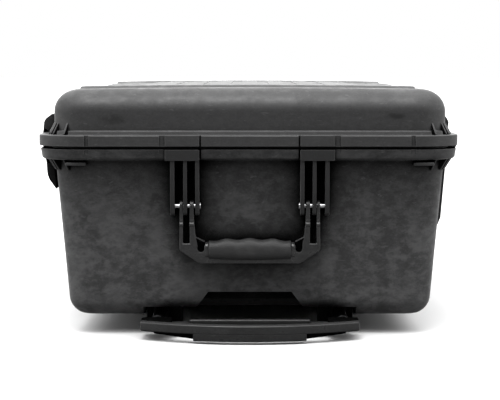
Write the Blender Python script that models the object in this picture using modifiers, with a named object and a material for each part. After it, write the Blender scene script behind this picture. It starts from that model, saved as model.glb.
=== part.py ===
"""Wheeled hard-shell carrying case with foam inserts, closed, standing flat on its runners.

The frame is in metres. +Z is up, +Y runs from the pull-handle end to the wheel end, the latches are on
the -X side and the hinges on the +X side. The origin is on the floor under the middle of the whole case,
pull grip included.
"""

import math

import bmesh
import bpy
from mathutils import Matrix, Vector

# Overall sizes
CASE_MIDDLE_Y = 0.021  # middle of the shells: the pull grip stands proud of one end only
RIM_HALF_WIDTH = 0.2615
RIM_HALF_LENGTH = 0.401
RIM_OFFSET_X = -0.0017  # the rim reaches a little further out on the latch side
RIM_CORNER = 0.060
WALL = 0.005
TOUCH_GAP = 0.0003  # left between pieces that touch
FIT_GAP = 0.001  # left around the foam
CORNER_STEPS = 5
EMBED = 0.002  # how far a joined shape reaches into its shell

# Base shell
BASE_BOTTOM = 0.024
BASE_EDGE_RADIUS = 0.022
BASE_FLANGE_BOTTOM = 0.221
BASE_TOP = 0.2345
BASE_WALL_INSET = 0.0177  # wall behind the rim, just under the flange
BASE_DRAFT = 0.0913  # how fast the wall leans in, per unit of height
BASE_FLOOR = 0.0405
BASE_FLANGE_INSET = 0.0015

# Lid shell
LID_BOTTOM = 0.237
LID_FLANGE_TOP = 0.250
LID_WALL_INSET = 0.0165
LID_WALL_BOTTOM = 0.2555
LID_WALL_TOP = 0.2795
LID_EDGE_RADIUS = 0.030
LID_TOP = LID_WALL_TOP + LID_EDGE_RADIUS
LID_RAISED_TOP = 0.3125
LID_SIDE_DROP = 0.0045
LID_CEILING = 0.2995
GASKET_INSETS = (0.0130, 0.0180)
GASKET_GROOVE_DEPTH = 0.004

# Runners, pull-handle channel and wheel wells under the base
RUNNER_X = (0.142, 0.162)
RUNNER_Y = (-0.165, 0.300)
CHANNEL_HALF_WIDTH = 0.134
CHANNEL_TOP = 0.0354
CHANNEL_END_Y = 0.245
HAND_RECESS_HALF_WIDTHS = (0.068, 0.052)
HAND_RECESS_TOP = 0.055
HAND_RECESS_END_Y = -0.267
UNDERSIDE_POCKET_X = (0.176, 0.202)
UNDERSIDE_POCKET_Y = (-0.285, 0.285)
WELL_X = (0.170, 0.214)
WELL_Y = (0.316, 0.440)
WELL_TOP = 0.092

# Wheels
WHEEL_RADIUS = 0.042
WHEEL_WIDTH = 0.034
WHEEL_X = (WELL_X[0] + WELL_X[1]) / 2
WHEEL_Y = 0.366
WHEEL_Z = 0.0445
HUB_RADIUS = 0.031
BEARING_RADIUS = 0.0105
AXLE_RADIUS = 0.006
AXLE_X = (0.1665, 0.2270)

# Pull handle
TUBE_X = 0.116
TUBE_Z = 0.0165
OUTER_TUBE_RADIUS = 0.0105
OUTER_TUBE_BORE = 0.0085
OUTER_TUBE_Y = (-0.255, 0.215)
INNER_TUBE_RADIUS = 0.008
INNER_TUBE_BORE = 0.0065
INNER_TUBE_END_Y = 0.120
GUIDE_Y = ((-0.262, -0.240), (0.190, 0.208))
GUIDE_Z = (0.0040, CHANNEL_TOP - TOUCH_GAP)
GUIDE_RELIEF_X = (-0.088, 0.088)
GUIDE_RELIEF_Z = (-0.010, 0.026)
GRIP_HALF_WIDTH = 0.135
GRIP_FRONT_Y = -0.422
GRIP_BOW = 0.036
GRIP_REAR_Y = -0.346
GRIP_BAR_DEPTH = 0.014
GRIP_ARM_WIDTH = 0.038
GRIP_Z = (0.0115, 0.0232)
GRIP_PAD_BOTTOM = 0.0059
GRIP_PAD_HALF_WIDTH = 0.069
RELEASE_HALF_WIDTH = 0.075
RELEASE_Y = (-0.368, -0.358)
RELEASE_Z = (0.0105, 0.0225)
RELEASE_PEG_Z = (-0.0030, 0.0030)  # about the bar's middle height
RELEASE_SLOT_Z = (-0.0034, 0.0034)

# Fold-down handles, in their side's frame: u along the side, w out from the rim face, z up
LUG_RIBS = ((0.0622, 0.0669), (0.0769, 0.0816), (0.0922, 0.0975))
LUG_BLOCK = (0.0618, 0.1015)
LUG_BLOCK_PROUD = 0.0035
LUG_BOTTOM = 0.153
HANDLE_PIN_W = -0.012
HANDLE_PIN_Z = 0.1644
HANDLE_PIN_RADIUS = 0.0028
HANDLE_PIN_U = (0.0600, 0.0970)
HOLE_GAP = 0.0003
PRONGS = ((0.0688, 0.0740), (0.0822, 0.0862))
PRONG_RADIUS = 0.0076
LEG_TOP = 0.128
SLOT_BOTTOM = 0.120
HANDLE_BOTTOM = 0.097
HANDLE_THICKNESS = 0.0156
CORE_Z = (0.104, 0.117)
GRIP_SLEEVE_HALF = 0.0515
GRIP_SLEEVE_Z = (0.0985, 0.124)
GRIP_SLEEVE_W = (-0.0238, -0.0002)

# Latches, in the frame of the latch side
LATCH_OFFSETS = (-0.262, -0.150, 0.150, 0.262)  # from the middle of the case
LATCH_NOTCH_HALF = 0.0300
LATCH_NOTCH_W = -0.0090
LATCH_RIB = (0.0262, 0.0300)
LEVER_HALF_WIDTH = 0.0255
LEVER_CHEEK = (0.0195, 0.0245)
LEVER_EAR = (0.0142, 0.0185)
LEVER_PIN = (-0.0040, 0.2620)
LEVER_PIN_RADIUS = 0.0025
HOOK_PIN = (-0.0043, 0.2290)
HOOK_PIN_RADIUS = 0.0018
HOOK_HALF_WIDTH = 0.0135

# Hinges, in the frame of the hinge side
HINGE_OFFSETS = (-0.240, 0.0, 0.240)
HINGE_AXIS_X = 0.2615
HINGE_AXIS_Z = 0.2357
KNUCKLE_RADIUS = 0.0055
HINGE_PIN_RADIUS = 0.0025
BASE_KNUCKLES = ((-0.045, -0.0225), (0.0225, 0.045))
LID_KNUCKLE = (-0.022, 0.022)
HINGE_RIBS = (-0.034, 0.0, 0.034)
RIB_HALF_THICKNESS = 0.0025

# Foam
PAD_TOP = 0.075
INSERT_TOP = 0.228
POCKETS = {
    "controller": ((-0.195, 0.010), (-0.310, -0.165)),
    "charger": ((0.040, 0.195), (-0.310, -0.165)),
    "drone": ((-0.195, 0.195), (-0.135, 0.175)),
    "battery_1": ((-0.195, -0.120), (0.205, 0.290)),
    "battery_2": ((-0.090, -0.015), (0.205, 0.290)),
    "battery_3": ((0.015, 0.090), (0.205, 0.290)),
    "battery_4": ((0.120, 0.195), (0.205, 0.290)),
}
LID_FOAM_Z = (0.2395, 0.2985)

# Pressure valve, in the frame of the latch side
VALVE_U = 0.206
VALVE_Z = 0.190
VALVE_RADIUS = 0.014
VALVE_PAD_RADIUS = 0.0175
VALVE_PAD_W = -0.0185
VALVE_TOP_W = -0.0105

WORLD = Matrix.Identity(4)


def collection(name):
    made = bpy.data.collections.new(name)
    bpy.context.scene.collection.children.link(made)
    return made


def material(name, color, roughness, metallic=0.0):
    made = bpy.data.materials.new(name)
    made.use_nodes = True
    shader = made.node_tree.nodes["Principled BSDF"]
    shader.inputs["Base Color"].default_value = (*color, 1.0)
    shader.inputs["Roughness"].default_value = roughness
    shader.inputs["Metallic"].default_value = metallic
    return made


def side_frame(origin, along, outward):
    """The frame of one side of the case: x along the side, y outwards, z up."""
    columns = (Vector(along), Vector(outward), Vector((0, 0, 1)))
    return Matrix.Translation(origin) @ Matrix(columns).transposed().to_4x4()


END_SIDE = side_frame((0, CASE_MIDDLE_Y - RIM_HALF_LENGTH, 0), (-1, 0, 0), (0, -1, 0))
LATCH_SIDE = side_frame((RIM_OFFSET_X - RIM_HALF_WIDTH, CASE_MIDDLE_Y, 0), (0, 1, 0), (-1, 0, 0))
HINGE_SIDE = side_frame((0, CASE_MIDDLE_Y, 0), (0, -1, 0), (1, 0, 0))


# Shapes


def to_object(name, shape, place=WORLD, finish=None):
    """Turns a bmesh into an object, kept as a part when it has a finish and as a cutter when it has none."""
    bmesh.ops.recalc_face_normals(shape, faces=shape.faces)
    mesh = bpy.data.meshes.new(name)
    shape.to_mesh(mesh)
    shape.free()
    made = bpy.data.objects.new(name, mesh)
    made.matrix_world = place
    if finish:
        mesh.materials.append(finish)
        PARTS.objects.link(made)
    else:
        made.hide_render = True
        made.display_type = "WIRE"
        CUTTERS.objects.link(made)
    return made


def box(name, x, y, z, place=WORLD, finish=None):
    shape = bmesh.new()
    bmesh.ops.create_cube(shape, size=1.0)
    size = (x[1] - x[0], y[1] - y[0], z[1] - z[0])
    bmesh.ops.scale(shape, vec=size, verts=shape.verts)
    centre = (sum(x) / 2, sum(y) / 2, sum(z) / 2)
    bmesh.ops.translate(shape, vec=centre, verts=shape.verts)
    return to_object(name, shape, place, finish)


def prism(name, outline, span, across, place=WORLD, finish=None):
    """Pushes a flat outline along one local axis, from span[0] to span[1]."""
    shape = bmesh.new()
    corners = []
    for first, second in outline:
        point = [first, second]
        point.insert(across, span[0])
        corners.append(shape.verts.new(point))
    pushed = bmesh.ops.extrude_face_region(shape, geom=[shape.faces.new(corners)])
    shift = Vector((0, 0, 0))
    shift[across] = span[1] - span[0]
    moved = [item for item in pushed["geom"] if isinstance(item, bmesh.types.BMVert)]
    bmesh.ops.translate(shape, vec=shift, verts=moved)
    return to_object(name, shape, place, finish)


def rod(name, radius, span, across, centre, place=WORLD, finish=None, segments=12):
    """A cylinder along one local axis; centre holds its place on the other two axes, in order."""
    shape = bmesh.new()
    bmesh.ops.create_cone(
        shape, cap_ends=True, segments=segments, radius1=radius, radius2=radius, depth=span[1] - span[0]
    )
    if across == 0:
        bmesh.ops.rotate(shape, matrix=Matrix.Rotation(math.radians(90), 3, "Y"), verts=shape.verts)
    if across == 1:
        bmesh.ops.rotate(shape, matrix=Matrix.Rotation(math.radians(90), 3, "X"), verts=shape.verts)
    middle = list(centre)
    middle.insert(across, (span[0] + span[1]) / 2)
    bmesh.ops.translate(shape, vec=middle, verts=shape.verts)
    return to_object(name, shape, place, finish)


def turned(name, profile, centre, finish, segments=24):
    """Turns a closed (radius, offset) profile about the X axis; it runs top to bottom on its outer side."""
    mesh = bpy.data.meshes.new(name)
    points = [(radius, 0, offset) for radius, offset in profile]
    edges = [(i, (i + 1) % len(points)) for i in range(len(points))]
    mesh.from_pydata(points, edges, [])
    made = bpy.data.objects.new(name, mesh)
    made.location = centre
    made.rotation_euler = (0, math.radians(90), 0)
    screw = made.modifiers.new("Turn", "SCREW")
    screw.steps = segments
    screw.render_steps = segments
    screw.use_merge_vertices = True
    screw.merge_threshold = 0.0001
    mesh.materials.append(finish)
    PARTS.objects.link(made)
    return made


def rounded_ring(shape, z, inset):
    """One level of a shell: a round-cornered rectangle set in from the rim's outline by inset."""
    half_x = RIM_HALF_WIDTH - inset
    half_y = RIM_HALF_LENGTH - inset
    radius = max(RIM_CORNER - inset, 0.012)
    shift = RIM_OFFSET_X if inset < BASE_WALL_INSET / 2 else 0.0
    ring = []
    for quarter in range(4):
        sign_x = (1, -1, -1, 1)[quarter]
        sign_y = (1, 1, -1, -1)[quarter]
        for step in range(CORNER_STEPS + 1):
            angle = math.radians(90) * (quarter + step / CORNER_STEPS)
            x = sign_x * (half_x - radius) + radius * math.cos(angle) + shift
            y = sign_y * (half_y - radius) + radius * math.sin(angle) + CASE_MIDDLE_Y
            ring.append(shape.verts.new((x, y, z)))
    return ring


def shell(name, levels, finish):
    """A loft through (z, inset) levels, capped at its first and last level."""
    shape = bmesh.new()
    rings = [rounded_ring(shape, z, inset) for z, inset in levels]
    for lower, upper in zip(rings, rings[1:]):
        for i in range(len(lower)):
            j = (i + 1) % len(lower)
            shape.faces.new((lower[i], lower[j], upper[j], upper[i]))
    shape.faces.new(rings[0])
    shape.faces.new(rings[-1])
    return to_object(name, shape, finish=finish)


def loop_band(name, insets, z, finish):
    """A flat ring that follows the rim, between two insets."""
    shape = bmesh.new()
    levels = ((z[0], insets[0]), (z[0], insets[1]), (z[1], insets[1]), (z[1], insets[0]))
    rings = [rounded_ring(shape, height, inset) for height, inset in levels]
    for here, there in zip(rings, rings[1:] + rings[:1]):
        for i in range(len(here)):
            j = (i + 1) % len(here)
            shape.faces.new((here[i], here[j], there[j], there[i]))
    return to_object(name, shape, finish=finish)


def combine(target, tools, operation, solver):
    for tool in tools:
        modifier = target.modifiers.new(tool.name, "BOOLEAN")
        modifier.operation = operation
        modifier.solver = solver
        modifier.object = tool


def join(target, *tools, solver="EXACT"):
    combine(target, tools, "UNION", solver)


def cut(target, *tools, solver="EXACT"):
    combine(target, tools, "DIFFERENCE", solver)


def bevel(target, width, segments=2, angle=40):
    modifier = target.modifiers.new("Round", "BEVEL")
    modifier.width = width
    modifier.segments = segments
    modifier.limit_method = "ANGLE"
    modifier.angle_limit = math.radians(angle)


def smooth(*pieces):
    for piece in pieces:
        piece.data.shade_smooth()
        piece.data.set_sharp_from_angle(angle=math.radians(35))


def pivot(name, location, *pieces):
    """An empty on a joint's axis that carries the pieces of one moving body."""
    empty = bpy.data.objects.new(name, None)
    empty.empty_display_size = 0.03
    empty.location = location
    PARTS.objects.link(empty)
    for piece in pieces:
        piece.parent = empty
        piece.matrix_parent_inverse = Matrix.Translation(location).inverted()
    return empty


def arc(centre, radius, start, end, steps):
    """Points along an arc, angles in degrees."""
    points = []
    for step in range(steps + 1):
        angle = math.radians(start + (end - start) * step / steps)
        points.append((centre[0] + radius * math.cos(angle), centre[1] + radius * math.sin(angle)))
    return points


def mirrored(span, sign):
    return (span[0], span[1]) if sign > 0 else (-span[1], -span[0])


def shifted(span, offset):
    return (span[0] + offset, span[1] + offset)


# Shells


def base_inset(z):
    return BASE_WALL_INSET + (BASE_FLANGE_BOTTOM - z) * BASE_DRAFT


def edge_levels(radius, steps, level, inset_at):
    """A rounded lower edge, from its flat face up to the wall."""
    made = []
    for step in range(steps + 1):
        angle = math.radians(90) * step / steps
        z = level + radius * (1 - math.cos(angle))
        made.append((z, inset_at(z) + radius * (1 - math.sin(angle))))
    return made


def base_levels():
    def cavity_inset(z):
        return base_inset(z) + WALL

    levels = edge_levels(BASE_EDGE_RADIUS, 4, BASE_BOTTOM, base_inset)
    levels += [
        (BASE_FLANGE_BOTTOM, BASE_WALL_INSET),
        (BASE_FLANGE_BOTTOM, BASE_FLANGE_INSET + 0.0045),
        (BASE_FLANGE_BOTTOM + 0.0030, BASE_FLANGE_INSET + 0.0008),
        (BASE_TOP, BASE_FLANGE_INSET),
        (BASE_TOP, cavity_inset(BASE_TOP)),
    ]
    return levels + edge_levels(0.014, 2, BASE_FLOOR, cavity_inset)[::-1]


def lid_levels():
    groove_top = LID_BOTTOM + GASKET_GROOVE_DEPTH
    near, far = GASKET_INSETS
    levels = [
        (LID_BOTTOM, near - TOUCH_GAP),
        (LID_BOTTOM, 0.0),
        (LID_FLANGE_TOP - 0.0022, 0.0),
        (LID_FLANGE_TOP, 0.0022),
        (LID_FLANGE_TOP + 0.0004, 0.0085),
        (LID_WALL_BOTTOM, 0.0125),
        (LID_WALL_BOTTOM, LID_WALL_INSET),
    ]
    levels += lid_edge(LID_EDGE_RADIUS, LID_TOP, LID_WALL_INSET, 5)
    return levels, [
        (LID_BOTTOM, near - TOUCH_GAP),
        (groove_top, near - TOUCH_GAP),
        (groove_top, far + TOUCH_GAP),
        (LID_BOTTOM, far + TOUCH_GAP),
        (LID_BOTTOM, LID_WALL_INSET + WALL),
    ] + lid_edge(LID_EDGE_RADIUS - WALL, LID_CEILING, LID_WALL_INSET + WALL, 3)


def lid_edge(radius, top, inset, steps):
    """A rounded upper edge, from the wall up to its flat face."""
    made = []
    for step in range(steps + 1):
        angle = math.radians(90) * step / steps
        made.append((top - radius * (1 - math.sin(angle)), inset + radius * (1 - math.cos(angle))))
    return made


def make_base():
    base = shell("base_shell", base_levels(), SHELL_BLACK)
    hand_bottom, hand_top = HAND_RECESS_HALF_WIDTHS
    for sign in (1, -1):
        runner = box(
            "runner",
            mirrored(RUNNER_X, sign),
            RUNNER_Y,
            (0.0, BASE_BOTTOM + EMBED),
        )
        bevel(runner, 0.003, segments=1)
        join(base, runner)
        block_x = mirrored((WELL_X[0] - 0.006, 0.2255), sign)
        join(base, well_block("wheel_well_block", block_x, 0.0))
    hump = [
        (-hand_bottom - WALL, BASE_FLOOR - EMBED),
        (hand_bottom + WALL, BASE_FLOOR - EMBED),
        (hand_top + WALL, HAND_RECESS_TOP + WALL),
        (-hand_top - WALL, HAND_RECESS_TOP + WALL),
    ]
    join(base, prism("hand_recess_hump", hump, (-0.3435, HAND_RECESS_END_Y + WALL), 1))
    channel_x = (-CHANNEL_HALF_WIDTH, CHANNEL_HALF_WIDTH)
    cut(base, box("pull_channel", channel_x, (-0.45, CHANNEL_END_Y), (-0.01, CHANNEL_TOP)))
    recess = [
        (-hand_bottom, CHANNEL_TOP - EMBED),
        (hand_bottom, CHANNEL_TOP - EMBED),
        (hand_top, HAND_RECESS_TOP),
        (-hand_top, HAND_RECESS_TOP),
    ]
    cut(base, prism("hand_recess", recess, (-0.45, HAND_RECESS_END_Y), 1))
    for sign in (1, -1):
        pocket_x = mirrored(UNDERSIDE_POCKET_X, sign)
        cut(
            base,
            box("underside_pocket", pocket_x, UNDERSIDE_POCKET_Y, (-0.01, CHANNEL_TOP)),
            box("wheel_well", mirrored(WELL_X, sign), WELL_Y, (-0.01, WELL_TOP)),
            rod(
                "axle_hole",
                AXLE_RADIUS + HOLE_GAP,
                mirrored((AXLE_X[0] - HOLE_GAP, 0.25), sign),
                0,
                (WHEEL_Y, WHEEL_Z),
                segments=20,
            ),
        )
    return base


def well_block(name, x, grow):
    """The solid around a wheel well, with its rear outer corner rounded like the shell's."""
    front = WELL_Y[0] - 0.006 - grow
    outline = [(x[0] - grow, front), (x[1] + grow, front)]
    rear = 0.3855 + grow
    cut_back = 0.020
    if x[1] > 0:
        outline += [(x[1] + grow, rear - cut_back), (x[1] + grow - cut_back, rear), (x[0] - grow, rear)]
    else:
        outline += [(x[1] + grow, rear), (x[0] - grow + cut_back, rear), (x[0] - grow, rear - cut_back)]
    return prism(name, outline, (BASE_FLOOR - EMBED - grow, WELL_TOP + 0.006 + grow), 2)


def make_lid():
    outer, inner = lid_levels()
    lid = shell("lid_shell", outer[::-1] + inner[1:], SHELL_BLACK)
    band = 0.082
    for sign in (1, -1):
        middle = CASE_MIDDLE_Y + sign * (RIM_HALF_LENGTH - 0.066 - band / 2)
        end = (middle - band / 2, middle + band / 2)
        raised = box("raised_band", (-0.212, 0.212), end, (LID_TOP - EMBED, LID_RAISED_TOP))
        bevel(raised, 0.002, segments=1)
        join(lid, raised)
    reach = RIM_HALF_LENGTH - 0.066 - band - 0.010
    length = (CASE_MIDDLE_Y - reach, CASE_MIDDLE_Y + reach)
    for sign in (1, -1):
        drop = (LID_TOP - LID_SIDE_DROP, LID_TOP + 0.01)
        cut(lid, box("stacking_ledge", mirrored((0.160, 0.30), sign), length, drop))
    panel = box("raised_panel", (-0.148, 0.148), shrink(length, 0.004), (LID_TOP - EMBED, LID_RAISED_TOP))
    bevel(panel, 0.002, segments=1)
    join(lid, panel)
    return lid


def shrink(span, amount):
    return (span[0] + amount, span[1] - amount)


# Fold-down handles


def lug_profile():
    """The side view of one handle rib, from the wall out past the rim."""
    return [
        (-0.0205, BASE_FLANGE_BOTTOM + EMBED),
        (-0.0265, LUG_BOTTOM),
        (-0.0080, LUG_BOTTOM),
        (-0.0020, LUG_BOTTOM + 0.0045),
        (0.0015, LUG_BOTTOM + 0.024),
        (0.0015, BASE_FLANGE_BOTTOM + EMBED),
    ]


def block_outline(sign):
    """The plan of a rim block: a sharp step on its inner side and a ramp on its outer side."""
    inner, outer = LUG_BLOCK
    outline = [
        (inner, -0.0080),
        (inner, LUG_BLOCK_PROUD),
        (outer - 0.006, LUG_BLOCK_PROUD),
        (outer + 0.004, -0.0025),
        (outer + 0.004, -0.0080),
    ]
    return [(sign * u, w) for u, w in outline]


def make_handle(name, place, base, lid):
    """One fold-down handle with its lugs on the base shell and its blocks on both flanges."""
    pins = []
    prong_plates = []
    for sign in (1, -1):
        for rib in LUG_RIBS:
            join(base, prism("handle_rib", lug_profile(), mirrored(rib, sign), 0, place))
        low = (BASE_FLANGE_BOTTOM - 0.0002, BASE_TOP - 0.0002)
        join(base, prism("handle_block", block_outline(sign), low, 2, place))
        high = (LID_BOTTOM + 0.0002, LID_FLANGE_TOP - 0.0018)
        join(lid, prism("lid_block", block_outline(sign), high, 2, place))
        hole = mirrored((HANDLE_PIN_U[0] - 0.005, HANDLE_PIN_U[1] - 0.003), sign)
        axis = (HANDLE_PIN_W, HANDLE_PIN_Z)
        cut(base, rod("handle_pin_hole", HANDLE_PIN_RADIUS + HOLE_GAP, hole, 0, axis, place))
        side = "left" if sign > 0 else "right"
        span = mirrored((HANDLE_PIN_U[0], HANDLE_PIN_U[1] - 0.0035), sign)
        pins.append(rod(f"{name}_pin_{side}", HANDLE_PIN_RADIUS, span, 0, axis, place, STEEL))
        for prong in PRONGS:
            plate = arc(axis, PRONG_RADIUS, 0, 180, 8)
            plate += [(HANDLE_PIN_W - PRONG_RADIUS, SLOT_BOTTOM - 0.004)]
            plate += [(HANDLE_PIN_W + PRONG_RADIUS, SLOT_BOTTOM - 0.004)]
            prong_plates.append(prism("prong", plate, mirrored(prong, sign), 0, place))
    frame = prism(f"{name}_frame", frame_outline(), frame_depth(0.0), 1, place, HANDLE_BLACK)
    bevel(frame, 0.0025, segments=1)
    join(frame, *prong_plates)
    for sign in (1, -1):
        bore = mirrored((0.060, 0.100), sign)
        cut(frame, rod("prong_hole", HANDLE_PIN_RADIUS + HOLE_GAP, bore, 0, axis, place))
    sleeve = box(
        f"{name}_grip",
        (-GRIP_SLEEVE_HALF, GRIP_SLEEVE_HALF),
        GRIP_SLEEVE_W,
        GRIP_SLEEVE_Z,
        place,
        RUBBER,
    )
    bevel(sleeve, 0.0065, segments=2)
    core = box(
        "grip_core",
        (-0.1, 0.1),
        frame_depth(TOUCH_GAP),
        (CORE_Z[0] - TOUCH_GAP, CORE_Z[1] + TOUCH_GAP),
        place,
    )
    cut(sleeve, core)
    smooth(sleeve, *pins)
    centre = place @ Vector((0, *axis))
    pivot(f"{name}_pivot", centre, frame, sleeve)


def frame_depth(grow):
    half = HANDLE_THICKNESS / 2 + grow
    return (HANDLE_PIN_W - half, HANDLE_PIN_W + half)


def frame_outline():
    """The handle's U seen from outside, from one leg round the bottom bar to the other."""
    inner = PRONGS[0][0]
    outer = PRONGS[1][1]
    half = [
        (0.0, CORE_Z[1]),
        (0.0550, CORE_Z[1]),
        (0.0585, CORE_Z[1] - 0.004),
        (0.0625, CORE_Z[1] - 0.004),
        (inner - 0.0025, CORE_Z[1] + 0.003),
        (inner, LEG_TOP),
        (PRONGS[0][1], LEG_TOP),
        (PRONGS[0][1], SLOT_BOTTOM),
        (PRONGS[1][0], SLOT_BOTTOM),
        (PRONGS[1][0], LEG_TOP),
        (outer, LEG_TOP),
        (outer, 0.113),
        (outer - 0.004, 0.1095),
        (0.0610, HANDLE_BOTTOM + 0.0010),
        (0.0570, HANDLE_BOTTOM),
        (0.0550, CORE_Z[0]),
        (0.0, CORE_Z[0]),
    ]
    left = [(-u, z) for u, z in half[1:-1]]
    return half[:-1] + [half[-1]] + left[::-1]


# Latches


def lever_profile():
    """The side view of a latch lever: a plate that curls in at both ends."""
    outer = [
        (-0.0040, 0.2718),
        (0.0015, 0.2655),
        (0.0038, 0.2585),
        (0.0038, 0.2200),
        (0.0016, 0.2110),
        (0.0000, 0.1940),
        (-0.0022, 0.1870),
        (-0.0100, 0.1760),
    ]
    inner = [
        (-0.0130, 0.1785),
        (-0.0060, 0.1890),
        (-0.0035, 0.1955),
        (-0.0020, 0.2120),
        (0.0003, 0.2200),
        (0.0003, 0.2560),
        (-0.0012, 0.2615),
        (-0.0062, 0.2690),
    ]
    return outer + inner


def hook_profile():
    """The side view of a latch hook: a boss on its pin and a claw under the base flange."""
    claw_top = BASE_FLANGE_BOTTOM - 0.0005
    return arc(HOOK_PIN, 0.0039, 0, 180, 6) + [
        (-0.0082, claw_top),
        (-0.0150, claw_top),
        (-0.0150, 0.2150),
        (-0.0140, 0.2135),
        (-0.0050, 0.2135),
        (-0.0004, 0.2230),
    ]


def make_latch(number, offset, base, lid):
    name = f"latch_{number}"
    place = LATCH_SIDE @ Matrix.Translation((offset, 0, 0))
    notch = (-LATCH_NOTCH_HALF, LATCH_NOTCH_HALF)
    cut(base, box("latch_notch", notch, (LATCH_NOTCH_W, 0.01), (0.215, 0.236), place))
    cut(lid, box("latch_notch", notch, (LATCH_NOTCH_W, 0.01), (0.236, 0.2530), place))
    lever_finish = HANDLE_BLACK
    lever = prism(
        f"{name}_lever",
        lever_profile(),
        (-LEVER_HALF_WIDTH, LEVER_HALF_WIDTH),
        0,
        place,
        lever_finish,
    )
    rib_outline = [
        (-0.0185, 0.2505),
        (-0.0080, 0.2505),
        (0.0010, 0.2570),
        (0.0010, 0.2640),
        (-0.0050, 0.2690),
        (-0.0185, 0.2690),
    ]
    bottom = HOOK_PIN[1] - 0.0039
    ear = [(0.0015, bottom)] + arc(HOOK_PIN, 0.0039, 270, 90, 6) + [(0.0015, HOOK_PIN[1] + 0.0039)]
    cheek = [(0.0018, 0.2565)] + arc(LEVER_PIN, 0.0050, 270, 90, 6) + [(-0.0010, 0.2668), (0.0018, 0.2640)]
    for sign in (1, -1):
        join(lid, prism("latch_rib", rib_outline, mirrored(LATCH_RIB, sign), 0, place))
        join(lever, prism("lever_cheek", cheek, mirrored(LEVER_CHEEK, sign), 0, place))
        join(lever, prism("lever_ear", ear, mirrored(LEVER_EAR, sign), 0, place))
    lever_hole = rod("lever_pin_hole", LEVER_PIN_RADIUS + HOLE_GAP, (-0.040, 0.040), 0, LEVER_PIN, place)
    cut(lid, lever_hole)
    cut(lever, lever_hole)
    hook_hole = rod("hook_pin_hole", HOOK_PIN_RADIUS + HOLE_GAP, (-0.020, 0.020), 0, HOOK_PIN, place)
    cut(lever, hook_hole)
    hook_span = (-HOOK_HALF_WIDTH, HOOK_HALF_WIDTH)
    hook = prism(f"{name}_hook", hook_profile(), hook_span, 0, place, HANDLE_BLACK)
    cut(hook, hook_hole)
    lever_pin_span = (-LATCH_RIB[1], LATCH_RIB[1])
    lever_pin = rod(f"{name}_lever_pin", LEVER_PIN_RADIUS, lever_pin_span, 0, LEVER_PIN, place, STEEL)
    hook_pin_span = (-LEVER_EAR[1], LEVER_EAR[1])
    hook_pin = rod(f"{name}_hook_pin", HOOK_PIN_RADIUS, hook_pin_span, 0, HOOK_PIN, place, STEEL)
    smooth(lever_pin, hook_pin)
    pivot(f"{name}_lever_pivot", place @ Vector((0, *LEVER_PIN)), lever, hook_pin)
    pivot(f"{name}_hook_pivot", place @ Vector((0, *HOOK_PIN)), hook)


# Hinges


def make_hinge(number, offset, base, lid):
    """One hinge with its ribs; the EXACT solver tears the shells' rims here, so these use MANIFOLD."""
    place = HINGE_SIDE @ Matrix.Translation((offset, 0, 0))
    axis = (HINGE_AXIS_X, HINGE_AXIS_Z)
    clear = KNUCKLE_RADIUS + 0.0008
    reach = (HINGE_AXIS_X - clear, HINGE_AXIS_X + 0.01)
    inside = HINGE_AXIS_X - clear - EMBED
    base_web = (BASE_TOP - 0.010, HINGE_AXIS_Z)
    lid_web = (HINGE_AXIS_Z, LID_BOTTOM + 0.010)
    for span in BASE_KNUCKLES:
        around = (span[0] - 0.0006, span[1] + 0.0006)
        cut(lid, box("knuckle_room", around, reach, (0.233, HINGE_AXIS_Z + clear), place), solver="MANIFOLD")
        join(base, box("knuckle_web", span, (inside, HINGE_AXIS_X), base_web, place), solver="MANIFOLD")
        join(base, rod("knuckle", KNUCKLE_RADIUS, span, 0, axis, place, segments=16), solver="MANIFOLD")
    room = (LID_KNUCKLE[0] - 0.0005, LID_KNUCKLE[1] + 0.0005)
    cut(base, box("knuckle_room", room, reach, (HINGE_AXIS_Z - clear, 0.240), place), solver="MANIFOLD")
    join(lid, box("knuckle_web", LID_KNUCKLE, (inside, HINGE_AXIS_X), lid_web, place), solver="MANIFOLD")
    join(lid, rod("knuckle", KNUCKLE_RADIUS, LID_KNUCKLE, 0, axis, place, segments=16), solver="MANIFOLD")
    hole = rod("hinge_pin_hole", HINGE_PIN_RADIUS + HOLE_GAP, (-0.05, 0.05), 0, axis, place)
    cut(base, hole, solver="MANIFOLD")
    cut(lid, hole, solver="MANIFOLD")
    pin_span = (BASE_KNUCKLES[0][0], BASE_KNUCKLES[1][1])
    smooth(rod(f"hinge_pin_{number}", HINGE_PIN_RADIUS, pin_span, 0, axis, place, STEEL))
    base_rib = [
        (0.2400, BASE_FLANGE_BOTTOM + EMBED),
        (0.2340, 0.124),
        (0.2420, 0.128),
        (0.2480, 0.138),
        (0.2550, BASE_FLANGE_BOTTOM + EMBED),
    ]
    lid_rib = [
        (0.2425, 0.2500),
        (0.2560, 0.2500),
        (0.2575, 0.2640),
        (0.2520, 0.2725),
        (0.2425, 0.2765),
    ]
    for middle in HINGE_RIBS:
        span = (middle - RIB_HALF_THICKNESS, middle + RIB_HALF_THICKNESS)
        join(base, prism("hinge_rib", base_rib, span, 0, place), solver="MANIFOLD")
        join(lid, prism("hinge_rib", lid_rib, span, 0, place), solver="MANIFOLD")


# Pull handle


def bow_y(x, depth):
    """The pull grip's bowed front, or a face depth behind it."""
    radius = (GRIP_HALF_WIDTH**2 + GRIP_BOW**2) / (2 * GRIP_BOW)
    return GRIP_FRONT_Y + depth + radius - math.sqrt(radius**2 - x**2)


def bow_points(half_width, depth, steps):
    points = []
    for step in range(steps + 1):
        x = half_width * (2 * step / steps - 1)
        points.append((x, bow_y(x, depth)))
    return points


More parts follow.
